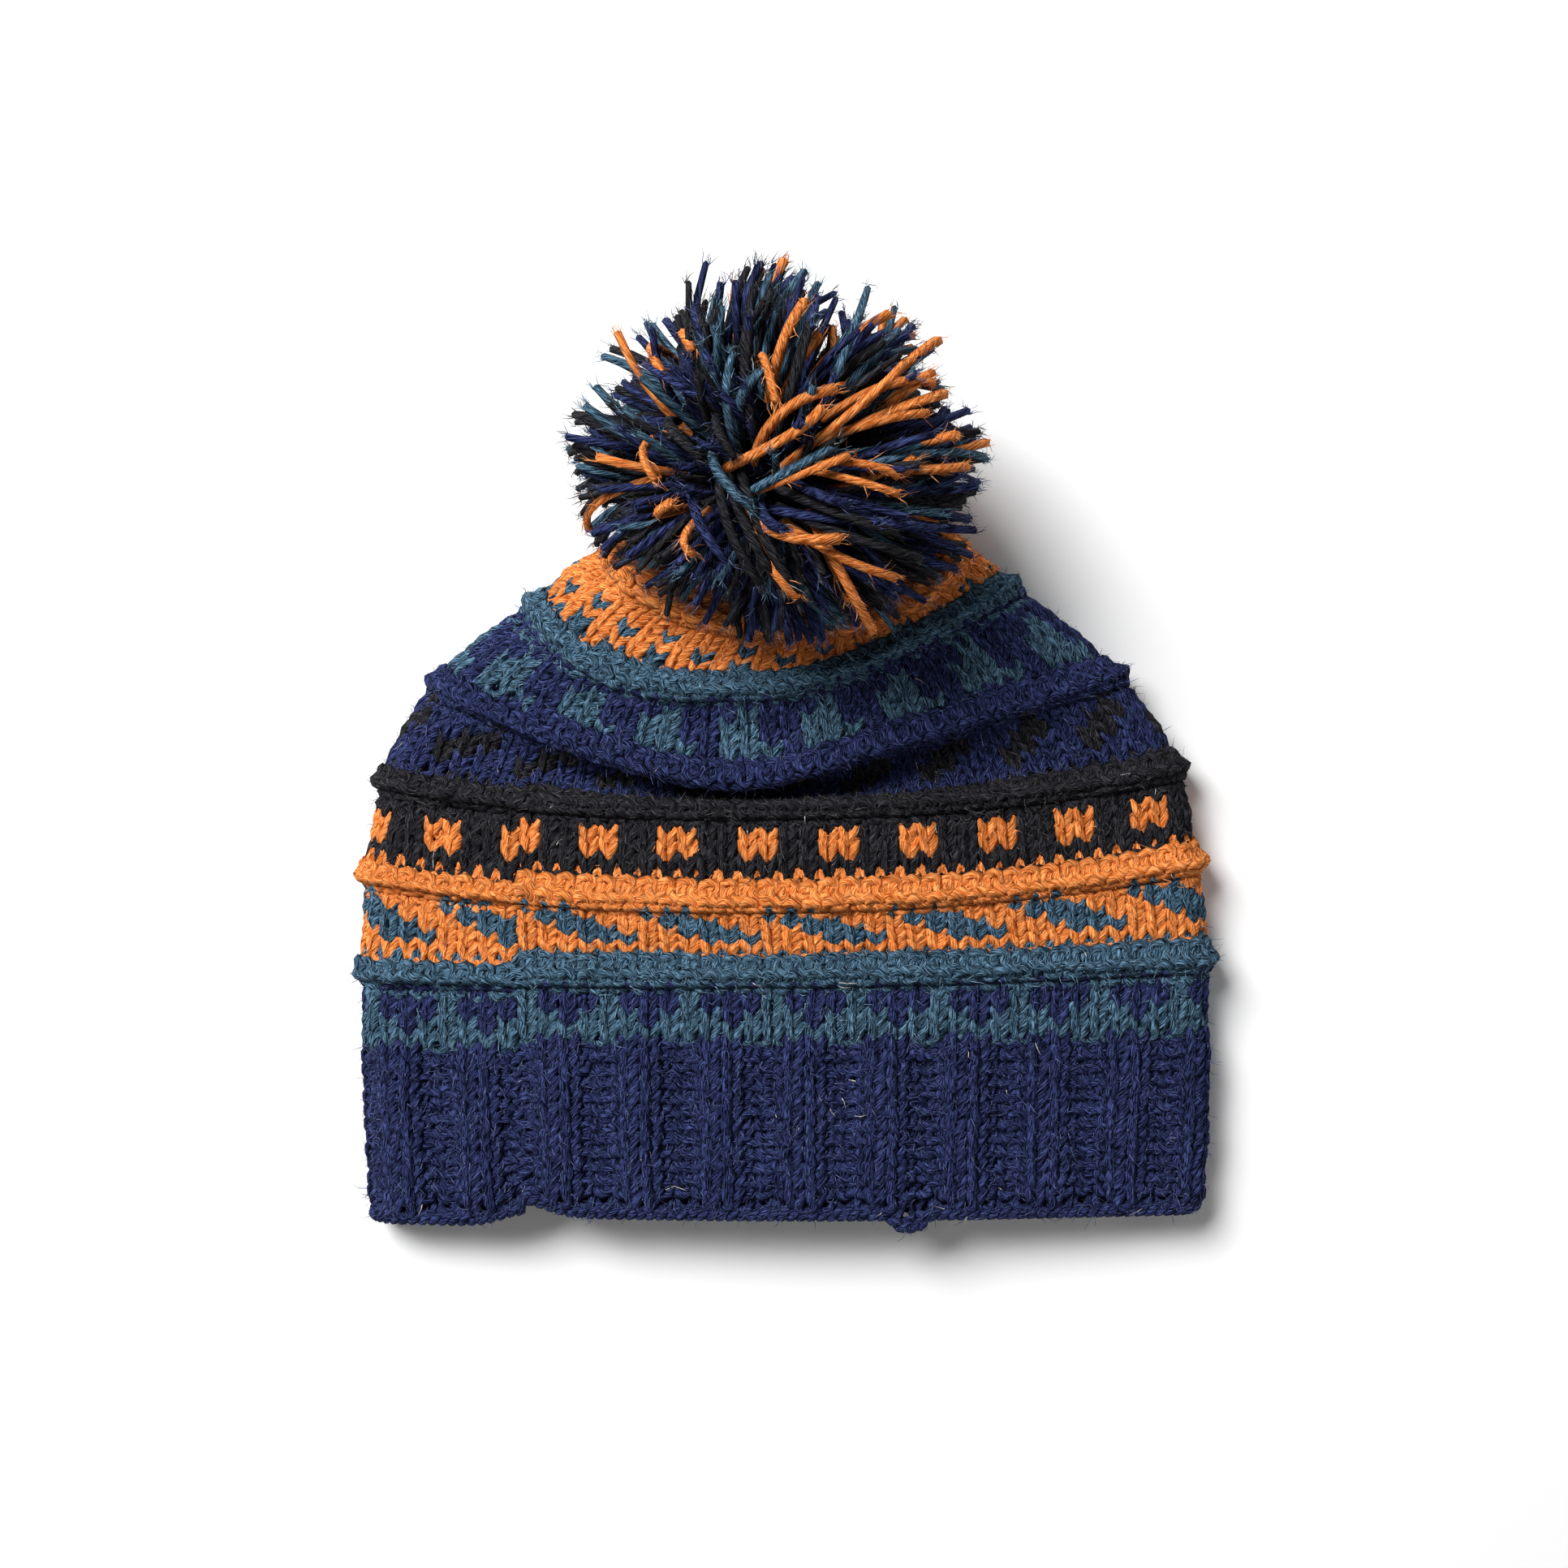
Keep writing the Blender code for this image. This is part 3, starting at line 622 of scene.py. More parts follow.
# The fibres give the eye the yarns' pale streaks and soft outline; a few are undyed.
FIBRES = (
    loose_fibre("navy_fibre", "#0E1226", "#5E6894"),
    loose_fibre("teal_fibre", "#152E3E", "#7C9CB2"),
    loose_fibre("orange_fibre", "#C86424", "#FFB878"),
    loose_fibre("charcoal_fibre", "#0A0A0C", "#565250"),
    loose_fibre("undyed_fibre", "#6C6862", "#D8D4CE"),
)
UNDYED = 4
UNDYED_SHARE = 0.007
# How hairy each yarn is, in the order of the yarns. A fibre is drawn seven times
# as wide as it is, because a thinner one wouldn't show.
HAIRINESS = np.array([1.0, 0.9, 0.4, 1.2])
FIBRE_WIDTH = 0.22 * MM
FIBRE_TAPER = np.array([0.5, 0.4, 0.08])
FIBRE_CURL = 0.35
FIBRE_LENGTHS = (1.8 * MM, 5.2 * MM)
ORANGE_FIBRE_SHARE = 0.6
FIBRE_YARN_MM = 6.0
FIBRE_TONES = 60.0
# Where on the yarn a fibre starts, in radians from straight out and in shares of
# its radius, and how far it lifts from the yarn, leans up the rows and strays.
ROOT_ANGLE = 1.7
ROOT_DEPTH = 0.9
LYING_LIFT = (0.05, 0.3)
STANDING_LIFT = 0.8
UP_THE_ROWS = (-0.2, 0.9)
FIBRE_STRAY = 0.3
STANDING_SHARE = 0.32
STANDING_LENGTH_SHARE = 0.4

# Where the loose fibres can start: each row's yarn, how it runs, the way out of
# the fabric and up it, the yarn's radius and its colour.
fuzz_seats = []


def fibre_rings(start, way, out, lengths):
    """Curved, tapered ribbons from start, that bend a little as they go."""
    curl = chance.normal(0.0, FIBRE_CURL, way.shape)
    middle = start + way * (0.5 * lengths)[:, None]
    end = middle + unit(way + curl) * (0.5 * lengths)[:, None]
    path = np.stack([start, middle, end], axis=1)
    across = unit(np.cross(way, out))[:, None, :]
    half_widths = FIBRE_TAPER[None, :, None] * FIBRE_WIDTH
    rings = np.stack([path - across * half_widths, path + across * half_widths], axis=2)
    rings[..., 2] = np.maximum(rings[..., 2], FLOOR_GAP)
    return rings


def grow_fibres(name, count):
    """Loose fibres on the rows knitted since the last call: most lie along the yarn, some stand off."""
    centres, run, out, along, thickness, colours = (np.concatenate(parts) for parts in zip(*fuzz_seats))
    fuzz_seats.clear()
    weights = HAIRINESS[colours]
    chosen = chance.choice(len(colours), count, p=weights / weights.sum())
    centres, run, out, along = centres[chosen], run[chosen], out[chosen], unit(along[chosen])
    angle = chance.uniform(-ROOT_ANGLE, ROOT_ANGLE, count)
    away = out * np.cos(angle)[:, None] + np.cross(run, out) * np.sin(angle)[:, None]
    start = centres + away * (ROOT_DEPTH * thickness[chosen])[:, None]
    forward = chance.choice([-1.0, 1.0], count)
    standing = chance.random(count) < STANDING_SHARE
    lift = np.where(standing, STANDING_LIFT, chance.uniform(*LYING_LIFT, count))
    way = run * forward[:, None] + along * chance.uniform(*UP_THE_ROWS, count)[:, None]
    way = unit(way + away * lift[:, None] + chance.normal(0.0, FIBRE_STRAY, way.shape))
    lengths = chance.uniform(*FIBRE_LENGTHS, count)
    lengths = lengths * np.where(colours[chosen] == YARN_LETTERS.index("O"), ORANGE_FIBRE_SHARE, 1.0)
    lengths = lengths * np.where(standing, STANDING_LENGTH_SHARE, 1.0)
    fibre_colours = np.where(chance.random(count) < UNDYED_SHARE, UNDYED, colours[chosen])
    fibres = Knitting()
    fibres.add(
        fibre_rings(start, way, out, lengths), False, 2, np.repeat(fibre_colours[:, None], 2, axis=1),
        FIBRE_YARN_MM, chance.uniform(0.0, FIBRE_TONES, count),
    )
    return fibres.finish(name, FIBRES)


rib = knit("ribbed_brim_loops", 0, ("nNNn",) * RIB_ROWS, STITCHES, YARNS)
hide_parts("ribbed_brim")

# The cast-on edge: two plies that turn once round each other at each stitch.
EDGE_STEPS = 8
EDGE_ROW = -0.7
EDGE_REACH = 1.0 * MM
EDGE_PLY_RADIUS = 1.25 * MM
along_row = np.arange(STITCHES * EDGE_STEPS) / EDGE_STEPS
height = EDGE_ROW + ROUND_STEP_ROWS * (0.5 - along_row / STITCHES) + edge_rise(0, along_row, STITCHES)
points, normals, along = on_wall(ROUND_START + along_row / STITCHES, height)
navy = np.zeros(len(along_row), dtype=int)
cast_on = Knitting()
for ply in (0, 1):
    twist = math.tau * (along_row + ply / 2.0)
    centres = (
        points + normals * (EDGE_REACH * np.cos(twist) - CORE_DEPTH)[:, None]
        + unit(along) * (EDGE_REACH * np.sin(twist))[:, None]
    )
    rings, run = closed_rings(centres, normals, np.full(len(points), EDGE_PLY_RADIUS))
    fuzz_seats.append((centres, run, normals, along, np.full(len(points), EDGE_PLY_RADIUS), navy))
    cast_on.add(rings[None], True, EDGE_STEPS, navy[None], LOOP_YARN_MM * STITCHES / 2, ply)
cast_on = cast_on.finish("cast_on_edge", YARNS)
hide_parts("ribbed_brim")

BRIM_FIBRES = 14000
brim_fuzz = grow_fibres("ribbed_brim_fibres", BRIM_FIBRES)
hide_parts("ribbed_brim")

# Patterned body: stranded colourwork in stocking stitch, with a raised welt of
# three purl rows after each band. The charts repeat round the hat, and a small
# letter is a purl stitch.

FANCY_BANDS = (
    ("teal_peaks_band", 12, ("TTTT", "TTNT", "TNNN", "TNNN", "t", "t", "t")),
    ("orange_diagonal_band", 19, ("O", "OOOTTT", "OOTTTO", "OTTTOO", "TTTOOO", "o", "o", "o")),
    ("orange_squares_band", 27, ("C", "OCCO", "OCCO", "C", "c", "c", "c")),
)
for name, first_row, chart in FANCY_BANDS:
    band = knit(name, first_row, chart, STITCHES, YARNS)
    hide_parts("patterned_body")

BODY_FIBRES = 17000
body_fuzz = grow_fibres("patterned_body_fibres", BODY_FIBRES)
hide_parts("patterned_body")

# Crown: the same fabric with stitches worked together at each welt, so that it
# narrows to the gathered hole under the pompom.

CROWN_BANDS = (
    ("navy_speckled_band", 34, 80, ("N", "NNNC", "CNNC", "CCNN", "NCNN", "n", "n", "n")),
    ("teal_leaves_band", 42, 68, ("TTTN", "TTNN", "TTNN", "NTNN", "NNNN", "t", "t", "t")),
    ("orange_teal_band", 50, 52, ("OOTO", "TOOO", "OOTO", "OOOO", "OOOO")),
    ("orange_top", 55, 40, ("o", "o")),
)
for name, first_row, count, chart in CROWN_BANDS:
    band = knit(name, first_row, chart, count, YARNS)
    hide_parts("crown")

# The last rows and their stitches, which draw in to the hole.
GATHER_ROWS = ((57, 32), (58, 22), (59, 12), (60, 7))
gather = Knitting()
for row, count in GATHER_ROWS:
    orange = np.full(count, YARN_LETTERS.index("O"))
    rings = loops_of_row(row, count, "O", "O", orange)
    orange_steps = np.repeat(orange, LOOP_STEPS)[None]
    gather.add(rings[None], True, LOOP_STEPS, orange_steps, LOOP_YARN_MM * count, row)
gathered_top = gather.finish("gathered_top", YARNS)
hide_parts("crown")

CROWN_FIBRES = 14000
crown_fuzz = grow_fibres("crown_fibres", CROWN_FIBRES)
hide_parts("crown")

# Gathering tie: a navy strand that comes up through the gathered hole, wound
# flat inside the crown and round the pompom's waist outside.

last_ring = dict(zip(RING_COLUMNS, RINGS[-1]))
HOLE_CENTRE = HAT_ORIGIN + np.array([0.0, last_ring["edge_y"], last_ring["fold_z"]]) * MM
HOLE_AXIS = np.array([0.0, 0.8, 0.6])
HOLE_ACROSS = np.array([1.0, 0.0, 0.0])
HOLE_UP = np.cross(HOLE_AXIS, HOLE_ACROSS)
TIE_YARN_RADIUS = 1.0 * MM
TIE_YARN_MM = 150.0
TIE_STEPS = 120
TIE_PATCH_STEPS = 10
TIE_TONE = 3
TIE_END_SHARE = 0.3
# Places along the tie: millimetres out from the hole, its radius there and its turns so far.
TIE_ROUTE = (
    (-8.6, 1.0, 0.0),
    (-8.8, 4.6, 0.8),
    (-8.0, 5.4, 1.8),
    (-7.0, 3.6, 2.8),
    (-5.0, 1.6, 3.4),
    (1.0, 1.6, 4.0),
    (3.0, 2.8, 5.0),
    (5.0, 2.9, 6.0),
    (7.0, 2.4, 7.0),
)
# Nearly straight up, so that no strand runs just along it; the plied wool's painted shade falls away from
# this side, on each loose strand's underside.
FIRST_SIDE = np.array([0.06, 0.04, 1.0])


def strand_rings(paths, radii, sides):
    """Rings round each of several strands, the first side up at the tip and kept in line from there."""
    run = unit(np.gradient(paths, axis=1))
    across = np.empty_like(paths)
    side = FIRST_SIDE
    for step in reversed(range(paths.shape[1])):
        side = unit(side - run[:, step] * (side * run[:, step]).sum(axis=1, keepdims=True))
        across[:, step] = side
    angle = math.tau * np.arange(sides) / sides
    return rings_round(paths, across, np.cross(run, across), radii, angle)


route = np.array(TIE_ROUTE)
share = np.linspace(0.0, len(route) - 1.0, TIE_STEPS)
height, reach, turns = (np.interp(share, np.arange(len(route)), route[:, i]) for i in range(3))
angle = math.tau * turns
tie_path = (
    HOLE_CENTRE
    + HOLE_AXIS * (height * MM)[:, None]
    + HOLE_ACROSS * (reach * MM * np.cos(angle))[:, None]
    + HOLE_UP * (reach * MM * np.sin(angle))[:, None]
)
tie_radii = np.full((1, len(tie_path)), TIE_YARN_RADIUS)
tie_radii[0, [0, -1]] = TIE_END_SHARE * TIE_YARN_RADIUS
tie_rings = strand_rings(tie_path[None], tie_radii, YARN_SIDES)
tie = Knitting()
tie.add(tie_rings, False, TIE_PATCH_STEPS, np.zeros((1, TIE_STEPS - 1)), TIE_YARN_MM, TIE_TONE)
tie = tie.finish("gathering_tie", YARNS)
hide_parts("pompom_tie")

# Pompom: over a thousand cut ends of all four yarns, bound at the middle.
# Lying there, the strands on top part near the left and fall over to the
# right and up in locks, and those below are pressed flat on table and crown.

POMPOM_DISTANCE = 28.5 * MM
POMPOM_CENTRE = HOLE_CENTRE + HOLE_AXIS * POMPOM_DISTANCE
POMPOM_RADIUS = 53.0 * MM
POMPOM_STRANDS = 1150
# How unevenly the strands are cut and set.
CUT_SPREAD = 3.0 * MM
CUT_SHORTEST, CUT_LONGEST = -9.0 * MM, 4.0 * MM
WAY_SPREAD = 0.05
# Ways in which the strands are cut shorter, by what share: to the crown, the bottom
# left, the top and the top right. To the left they are longer.
SHORTER_WAYS = (
    ((0.0, -1.0, 0.0), 0.14),
    ((-0.5, -0.87, 0.0), 0.12),
    ((0.0, 1.0, 0.0), 0.12),
    ((0.7, 0.7, 0.0), 0.12),
    ((-0.95, 0.3, 0.0), -0.08),
)
STRAND_STEPS = 9
STRAND_SIDES = 5
STRAND_RADIUS = 1.25 * MM
STRAND_THICKNESSES = (0.82, 1.15)
STRAND_START = 0.14
# A cut end untwists: its 50 mm count as 26 mm of yarn, so its plies lie half as tight.
STRAND_LAY_MM = 26.0
# How thick a strand is at its root and tip, in shares of its radius, and how far
# the tip runs on. The orange yarn is cut blunt, and the hairy ones thin out.
ROOT_SHARE = 0.8
BLUNT_TIP = (1.1, 0.35)
FRAYED_TIP = (0.92, 0.78, 0.3)
TIP_REACH = 0.5
# The way to the parting, and how far strands fall from it: most to one side and on
# top, little at the parting, and a small share where table and crown press them.
PARTING = unit(np.array([-13.0, -11.0, 48.0]))
FALL = math.radians(54.0)
FALL_POWER = 2.6
FALL_SIDE = unit(np.array([0.85, 0.35, 0.0]))
FALL_SIDE_SHARE = 0.3
FALL_LEAST = 0.45
FALL_AT_PARTING = 0.1
PRESSED_TILT = 1.7
PRESSED_FALL = 0.3
# Strands gather in locks, and each lock and strand falls, swirls and waves a little its own way.
LOCKS = 150
LOCK_GATHER = 0.3
LOCK_FALLS = (0.6, 1.25)
STRAND_FALLS = (0.8, 1.2)
LOCK_SWIRL = 0.22
STRAND_SWIRL = 0.12
SWIRL_POWER = 1.5
STRAND_BENDS = (0.4 * MM, 2.2 * MM)
BEND_WAVE = 5.0
CROWN_CLEARANCE = 2.0 * MM
TIE_CLEAR = math.cos(math.radians(24.0))
HEART_RADIUS = 29.0 * MM
HEART_RINGS = 15
HEART_SIDES = 20
HEART_POLE = 0.499
HEART_YARN_MM = 60.0
# Shares of navy, teal and charcoal among the strands that aren't orange.
DARK_SHARES = (0.43, 0.15, 0.42)
ORANGE_LEAST = 0.015
ORANGE_MORE = 0.12
ORANGE_SIDE = unit(np.array([0.6, 0.5, 0.3]))

# Strands that lie on top, by their yarn, each as three places from the pompom's
# middle: x and y in millimetres. Their height follows from the pompom's round.
TOP_STRANDS = {
    "O": (
        ((-11, -4), (3, 0), (9, 8)), ((-6, 2), (-1, 9), (12, 13)), ((-5, -11), (5, -7), (15, -3)),
        ((13, -4), (21, -4), (27, -7)), ((10, -7), (19, -9), (27, -11)),
        ((7, 0), (19, 9), (29, 21)), ((32, -5), (38, -4), (45, -2)), ((-6, 25), (-4, 18), (-2, 10)),
        ((-2, 23), (2, 29), (5, 36)), ((32, 24), (35, 27), (39, 32)),
        ((28, 10), (34, 12), (39, 15)), ((-36, 4), (-33, -2), (-31, -7)),
        ((-32, -16), (-30, -15), (-27, -13)), ((-25, -20), (-24, -22), (-22, -25)),
        ((-9, -17), (-4, -23), (13, -22)), ((-6, -25), (-2, -30), (3, -35)),
        ((8, -25), (17, -27), (27, -30)), ((12, -27), (17, -35), (22, -42)),
        ((-46, -8), (-49, -11), (-50, -15)), ((-35, 32), (-32, 25), (-29, 18)),
        ((-26, 32), (-24, 28), (-22, 24)), ((37, 3), (39, 4), (42, 5)),
        ((20, 14), (28, 17), (36, 17)), ((16, 4), (26, 7), (34, 9)),
    ),
    "T": (
        ((-19, -3), (-14, -9), (-8, -15)), ((-14, 4), (-14, 13), (-12, 22)),
        ((-12, 9), (-9, 13), (-5, 17)), ((-7, -11), (4, -5), (12, -1)),
        ((14, 20), (17, 30), (21, 44)), ((26, -3), (38, 2), (52, 3)),
    ),
    "N": (
        ((-25, -9), (-20, -18), (-14, -27)), ((-6, -17), (-3, -19), (0, -20)),
        ((5, -11), (10, -13), (15, -14)), ((6, -18), (22, -17), (38, -18)),
        ((-20, 12), (-27, 16), (-34, 22)), ((-18, 18), (-20, 27), (-22, 36)),
        ((2, 16), (6, 26), (8, 38)),
    ),
    "C": (
        ((-17, -12), (-12, -22), (-6, -32)), ((-14, -11), (-8, -20), (-1, -33)),
        ((-10, -12), (-4, -23), (4, -36)), ((5, -14), (16, -17), (27, -20)),
        ((8, -20), (20, -22), (33, -25)), ((-18, 8), (-15, 2), (-12, -3)),
        ((-31, 8), (-24, 2), (-20, -3)), ((0, 8), (4, 20), (6, 30)), ((-9, 8), (-10, 20), (-8, 33)),
    ),
}
TOP_RADIUS = 51.5 * MM
TOP_LEAST_HEIGHT = 4.0 * MM
TOP_ROOT = 0.7
TOP_ROOT_BACK = 0.6
TOP_ARCH = 1.06

crown_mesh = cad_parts["crown"].data
crown_tree = BVHTree.FromPolygons(
    [vertex.co for vertex in crown_mesh.vertices],
    [polygon.vertices for polygon in crown_mesh.polygons],
)


def fallen_strands(directions, lengths):
    """Paths from the pompom's middle that gather into locks and fall away from the parting."""
    lock_ways = unit(directions[chance.choice(len(directions), LOCKS, replace=False)])
    lock = np.argmax(directions @ lock_ways.T, axis=1)
    share = np.linspace(STRAND_START, 1.0, STRAND_STEPS)
    pull = LOCK_GATHER * share[None, :, None] ** 2
    ways = unit(directions[:, None, :] * (1.0 - pull) + lock_ways[lock][:, None, :] * pull)
    toward = ways @ PARTING
    tilt = np.arccos(np.clip(toward, -1.0, 1.0))
    away = unit(ways - PARTING * toward[..., None])
    beside = np.cross(PARTING, away)
    lock_fall = chance.uniform(*LOCK_FALLS, LOCKS)[lock] * chance.uniform(*STRAND_FALLS, len(lock))
    to_side = np.clip(directions @ FALL_SIDE + FALL_SIDE_SHARE, 0.0, 1.0)[:, None]
    on_top = FALL_AT_PARTING + (1.0 - FALL_AT_PARTING) * np.sin(tilt)
    fall = FALL * np.where(tilt < PRESSED_TILT, on_top, PRESSED_FALL) * lock_fall[:, None]
    fall = fall * (FALL_LEAST + (1.0 - FALL_LEAST) * to_side)
    swirl = chance.normal(0.0, LOCK_SWIRL, LOCKS)[lock]
    swirl = (swirl + chance.normal(0.0, STRAND_SWIRL, len(lock)))[:, None]
    angle = tilt + fall * share[None, :] ** FALL_POWER
    turn = swirl * share[None, :] ** SWIRL_POWER
    outward = away * np.cos(turn)[..., None] + beside * np.sin(turn)[..., None]
    phase = chance.uniform(0.0, math.tau, len(lock))[:, None]
    bend = chance.uniform(*STRAND_BENDS, len(lock))[:, None]
    wave = bend * np.sin(BEND_WAVE * share[None, :] + phase) * share[None, :]
    reach = lengths[:, None] * share[None, :]
    return POMPOM_CENTRE + beside * wave[..., None] + reach[..., None] * (
        PARTING * np.cos(angle)[..., None] + outward * np.sin(angle)[..., None]
    )


def stop_at_crown(path):
    """The same strand, cut where it would run into the crown."""
    for i in range(len(path) - 1):
        step = path[i + 1] - path[i]
        length = np.linalg.norm(step)
        reach = length + CROWN_CLEARANCE
        hit = crown_tree.ray_cast(Vector(path[i]), Vector(step / length), reach)[3]
        if hit is not None:
            kept = i + max(0.0, hit - CROWN_CLEARANCE) / length
            wanted = np.linspace(0.0, kept, len(path))
            places = np.arange(len(path))
            return np.stack([np.interp(wanted, places, path[:, axis]) for axis in range(3)], axis=1)
    return path


def top_strand(places):
    """A strand that comes up from inside the pompom and lies over it through the places."""
    flat = np.array(places) * MM
    height = np.sqrt(np.maximum(TOP_RADIUS**2 - (flat**2).sum(axis=1), TOP_LEAST_HEIGHT**2))
    on_top = np.column_stack([flat, height])
    root = on_top[0] * TOP_ROOT - TOP_ROOT_BACK * (on_top[1] - on_top[0])
    t = np.linspace(0.0, 1.0, STRAND_STEPS)[:, None]
    rising = (1 - t) ** 3 * root + 3 * (1 - t) ** 2 * t * on_top[0]
    return POMPOM_CENTRE + rising + 3 * (1 - t) * t**2 * on_top[1] * TOP_ARCH + t**3 * on_top[2]


# The strands set out evenly all round, by the golden angle, but for a gap at the tie.
index = np.arange(POMPOM_STRANDS)
level = 1.0 - 2.0 * (index + 0.5) / POMPOM_STRANDS
golden = index * math.pi * (3.0 - math.sqrt(5.0))
ring = np.sqrt(1.0 - level**2)
directions = np.stack([ring * np.cos(golden), ring * np.sin(golden), level], axis=1)
directions = unit(directions + chance.normal(0.0, WAY_SPREAD, directions.shape))
directions = directions[directions @ -HOLE_AXIS < TIE_CLEAR]
unevenness = chance.normal(0.0, CUT_SPREAD, len(directions))
lengths = POMPOM_RADIUS + unevenness.clip(CUT_SHORTEST, CUT_LONGEST)
for way, share in SHORTER_WAYS:
    lengths = lengths * (1.0 - share * np.maximum(0.0, directions @ np.array(way)))
paths = [stop_at_crown(path) for path in fallen_strands(directions, lengths)]
top_letters = [letter for letter, strands in TOP_STRANDS.items() for _ in strands]
top_paths = [top_strand(places) for strands in TOP_STRANDS.values() for places in strands]
paths = np.array(paths + top_paths)
paths[:, :, 2] = np.maximum(paths[:, :, 2], STRAND_RADIUS + FLOOR_GAP)
dark = chance.choice([0, 1, 3], len(directions), p=DARK_SHARES)
orange_share = ORANGE_LEAST + ORANGE_MORE * np.maximum(0.0, directions @ ORANGE_SIDE)
strand_colours = np.where(chance.random(len(directions)) < orange_share, YARN_LETTERS.index("O"), dark)
strand_colours = np.append(strand_colours, [YARN_LETTERS.index(letter) for letter in top_letters])

last_way = unit(paths[:, -1] - paths[:, -2])
tips = paths[:, -1:] + TIP_REACH * STRAND_RADIUS * last_way[:, None, :]
paths = np.concatenate([paths, tips], axis=1)
blunt_end, frayed_end = (
    np.array([ROOT_SHARE] + [1.0] * (STRAND_STEPS - len(tip)) + [*tip])
    for tip in (BLUNT_TIP, FRAYED_TIP)
)
is_orange = strand_colours == YARN_LETTERS.index("O")
profile = np.where(is_orange[:, None], blunt_end[None, :], frayed_end[None, :])
radii = STRAND_RADIUS * profile * chance.uniform(*STRAND_THICKNESSES, (len(paths), 1))
pompom = Knitting()
pompom.add(
    strand_rings(paths, radii, STRAND_SIDES), False, STRAND_STEPS,
    np.repeat(strand_colours[:, None], STRAND_STEPS, axis=1), STRAND_LAY_MM, np.arange(len(paths)),
)
# The heart, where the strands are pressed too tight to see between them: a ball coloured in the
# charcoal's painted shade.
latitude = np.linspace(-1.0, 1.0, HEART_RINGS) * HEART_POLE * math.pi
longitude = math.tau * np.arange(HEART_SIDES) / HEART_SIDES
heart = np.stack([
    np.cos(latitude)[:, None] * np.cos(longitude)[None, :],
    np.cos(latitude)[:, None] * np.sin(longitude)[None, :],
    np.repeat(np.sin(latitude)[:, None], HEART_SIDES, axis=1),
], axis=2)
heart = POMPOM_CENTRE + HEART_RADIUS * heart
painted_shade_charcoal = len(YARN_LETTERS) + YARN_LETTERS.index("C")
pompom.add(heart[None], False, 2, np.full((1, HEART_RINGS - 1), painted_shade_charcoal), HEART_YARN_MM, 0.0)
pompom = pompom.finish("pompom_strands", YARNS)
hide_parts("pompom")

# Frayed ends and loose fibres of the cut strands: how many to a strand, how far
# they stray from its way and how long they are.
FRAY_FIBRES = 6
FRAY_STRAY = 0.3
FRAY_LENGTHS = (2.0 * MM, 4.5 * MM)
SIDE_FIBRES = 19
SIDE_STRAY = 0.55
STRAND_ROOT_DEPTH = 0.8
frayed = Knitting()
for per_strand, stray, reach in (
    (FRAY_FIBRES, FRAY_STRAY, FRAY_LENGTHS),
    (SIDE_FIBRES, SIDE_STRAY, FIBRE_LENGTHS),
):
    strand = np.repeat(np.arange(len(paths)), per_strand)
    step = np.full(len(strand), STRAND_STEPS - 1)
    if per_strand == SIDE_FIBRES:
        step = chance.integers(STRAND_STEPS // 2, STRAND_STEPS, len(strand))
    run = unit(paths[strand, step] - paths[strand, step - 1])
    out = unit(np.cross(run, chance.normal(0.0, 1.0, run.shape)))
    start = paths[strand, step] + out * (STRAND_ROOT_DEPTH * STRAND_RADIUS)
    way = unit(run + chance.normal(0.0, stray, run.shape))
    fibre_lengths = chance.uniform(*reach, len(strand))
    colours = np.where(chance.random(len(strand)) < UNDYED_SHARE, UNDYED, strand_colours[strand])
    frayed.add(
        fibre_rings(start, way, np.cross(way, out), fibre_lengths), False, 2,
        np.repeat(colours[:, None], 2, axis=1),
        FIBRE_YARN_MM, chance.uniform(0.0, FIBRE_TONES, len(strand)),
    )
frayed = frayed.finish("pompom_fibres", FIBRES)
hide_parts("pompom")

# The setting: a plain white table, a broad window light from the upper left, the
# room's own dim light, and a camera straight above the hat.

CAMERA_HEIGHT = 0.616
CAMERA_Y = 117.8 * MM
LENS_MM = 50.0
SENSOR_MM = 36.0

camera_data = bpy.data.cameras.new("camera")
camera_data.lens = LENS_MM
camera_data.sensor_width = SENSOR_MM
camera = bpy.data.objects.new("camera", camera_data)
camera.location = (HAT_ORIGIN[0], HAT_ORIGIN[1] + CAMERA_Y, CAMERA_HEIGHT)
bpy.context.scene.collection.objects.link(camera)
bpy.context.scene.camera = camera


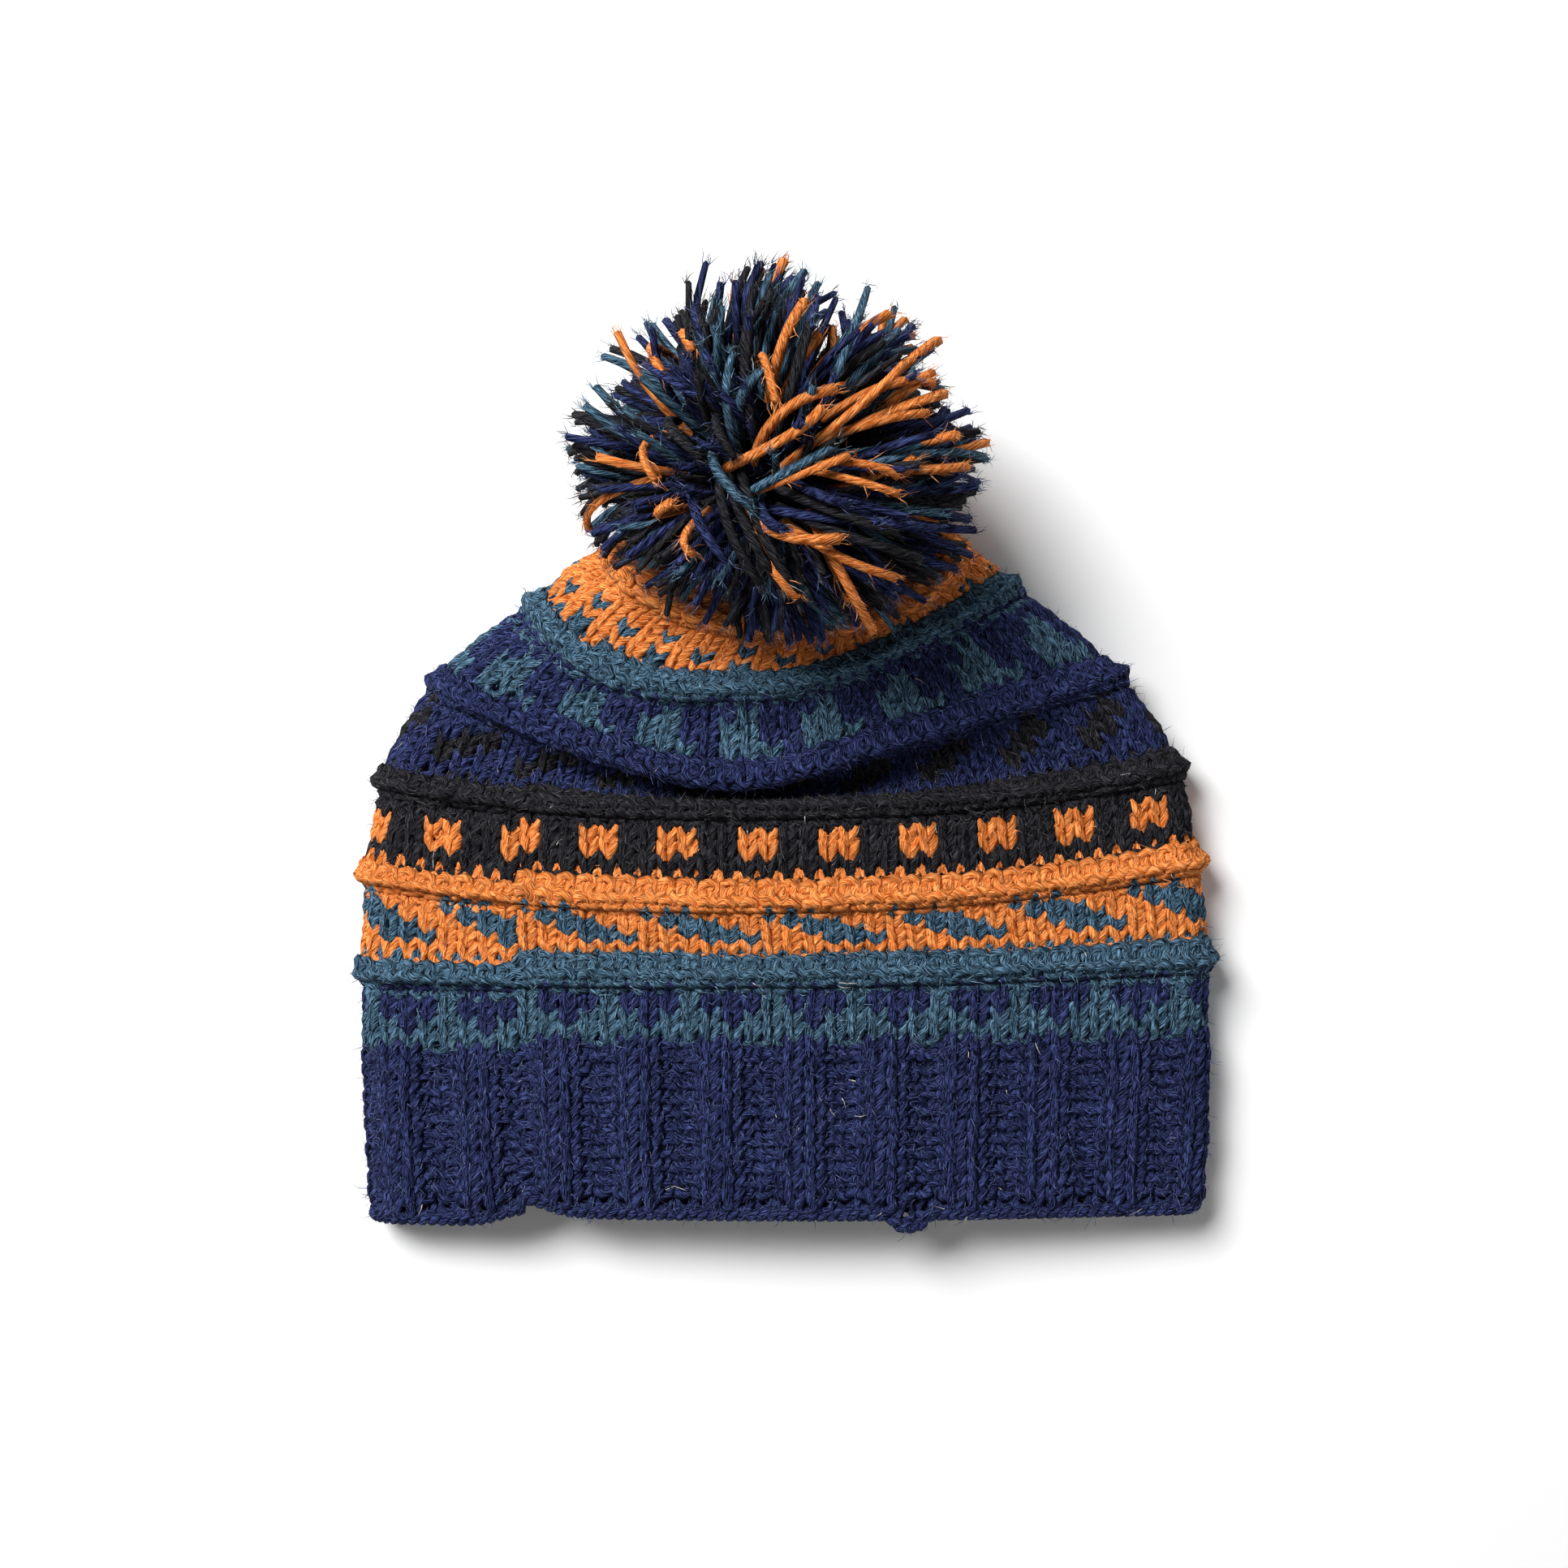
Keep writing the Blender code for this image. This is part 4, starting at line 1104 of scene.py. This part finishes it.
# Each light: its place and size in metres and its power in watts.
WINDOW = ((-1.05, 1.15, 1.85), 1.1, 82.0)
ROOM = ((0.6, -0.7, 1.3), 1.2, 1.2)


def area_light(name, place, size, power):
    """A soft square light that looks from its place to the middle of the hat."""
    data = bpy.data.lights.new(name, "AREA")
    data.size = size
    data.energy = power
    lamp = bpy.data.objects.new(name, data)
    lamp.location = place
    lamp.rotation_euler = (-Vector(place)).to_track_quat("-Z", "Y").to_euler()
    bpy.context.scene.collection.objects.link(lamp)


area_light("window_light", *WINDOW)
area_light("room_light", *ROOM)

# The room: pale walls at the level of the table, and a dimmer ceiling, so that the
# gaps between stitches stay dark.
WALL_TOP = 0.34
WALL_LIGHT = 0.85
CEILING_LIGHT = 0.16
world = bpy.data.worlds.new("white_room")
world.use_nodes = True
way = add_node(world, "ShaderNodeTexCoord").outputs["Generated"]
rise = add_node(world, "ShaderNodeSeparateXYZ", i0=way).outputs[2]
wall = add_node(world, "ShaderNodeMapRange", {"interpolation_type": "SMOOTHSTEP"},
                i0=rise, i1=0.0, i2=WALL_TOP, i3=WALL_LIGHT, i4=CEILING_LIGHT).outputs[0]
room = world.node_tree.nodes["Background"]
room.inputs["Color"].default_value = linear("#FFFFFF")
world.node_tree.links.new(wall, room.inputs["Strength"])
bpy.context.scene.world = world
# The plain transform keeps the yarns' colours as strong as they are.
bpy.context.scene.view_settings.view_transform = "Standard"

# The table top: matt white laminate, 6 m square, so that its edges stay far off.
TABLE_HALF = 3.0
LAMINATE_ROUGHNESS, LAMINATE_SPECULAR = 0.9, 0.5
white_laminate, laminate_shader = new_material("white_table", LAMINATE_ROUGHNESS, LAMINATE_SPECULAR)
laminate_shader.inputs["Base Color"].default_value = linear("#FBFBFB")
floor_mesh = bpy.data.meshes.new("table")
corners = [(x * TABLE_HALF, y * TABLE_HALF, 0.0) for x, y in ((-1, -1), (1, -1), (1, 1), (-1, 1))]
floor_mesh.from_pydata(corners, [], [(0, 1, 2, 3)])
floor_mesh.materials.append(white_laminate)
floor = bpy.data.objects.new("table", floor_mesh)
bpy.context.scene.collection.objects.link(floor)
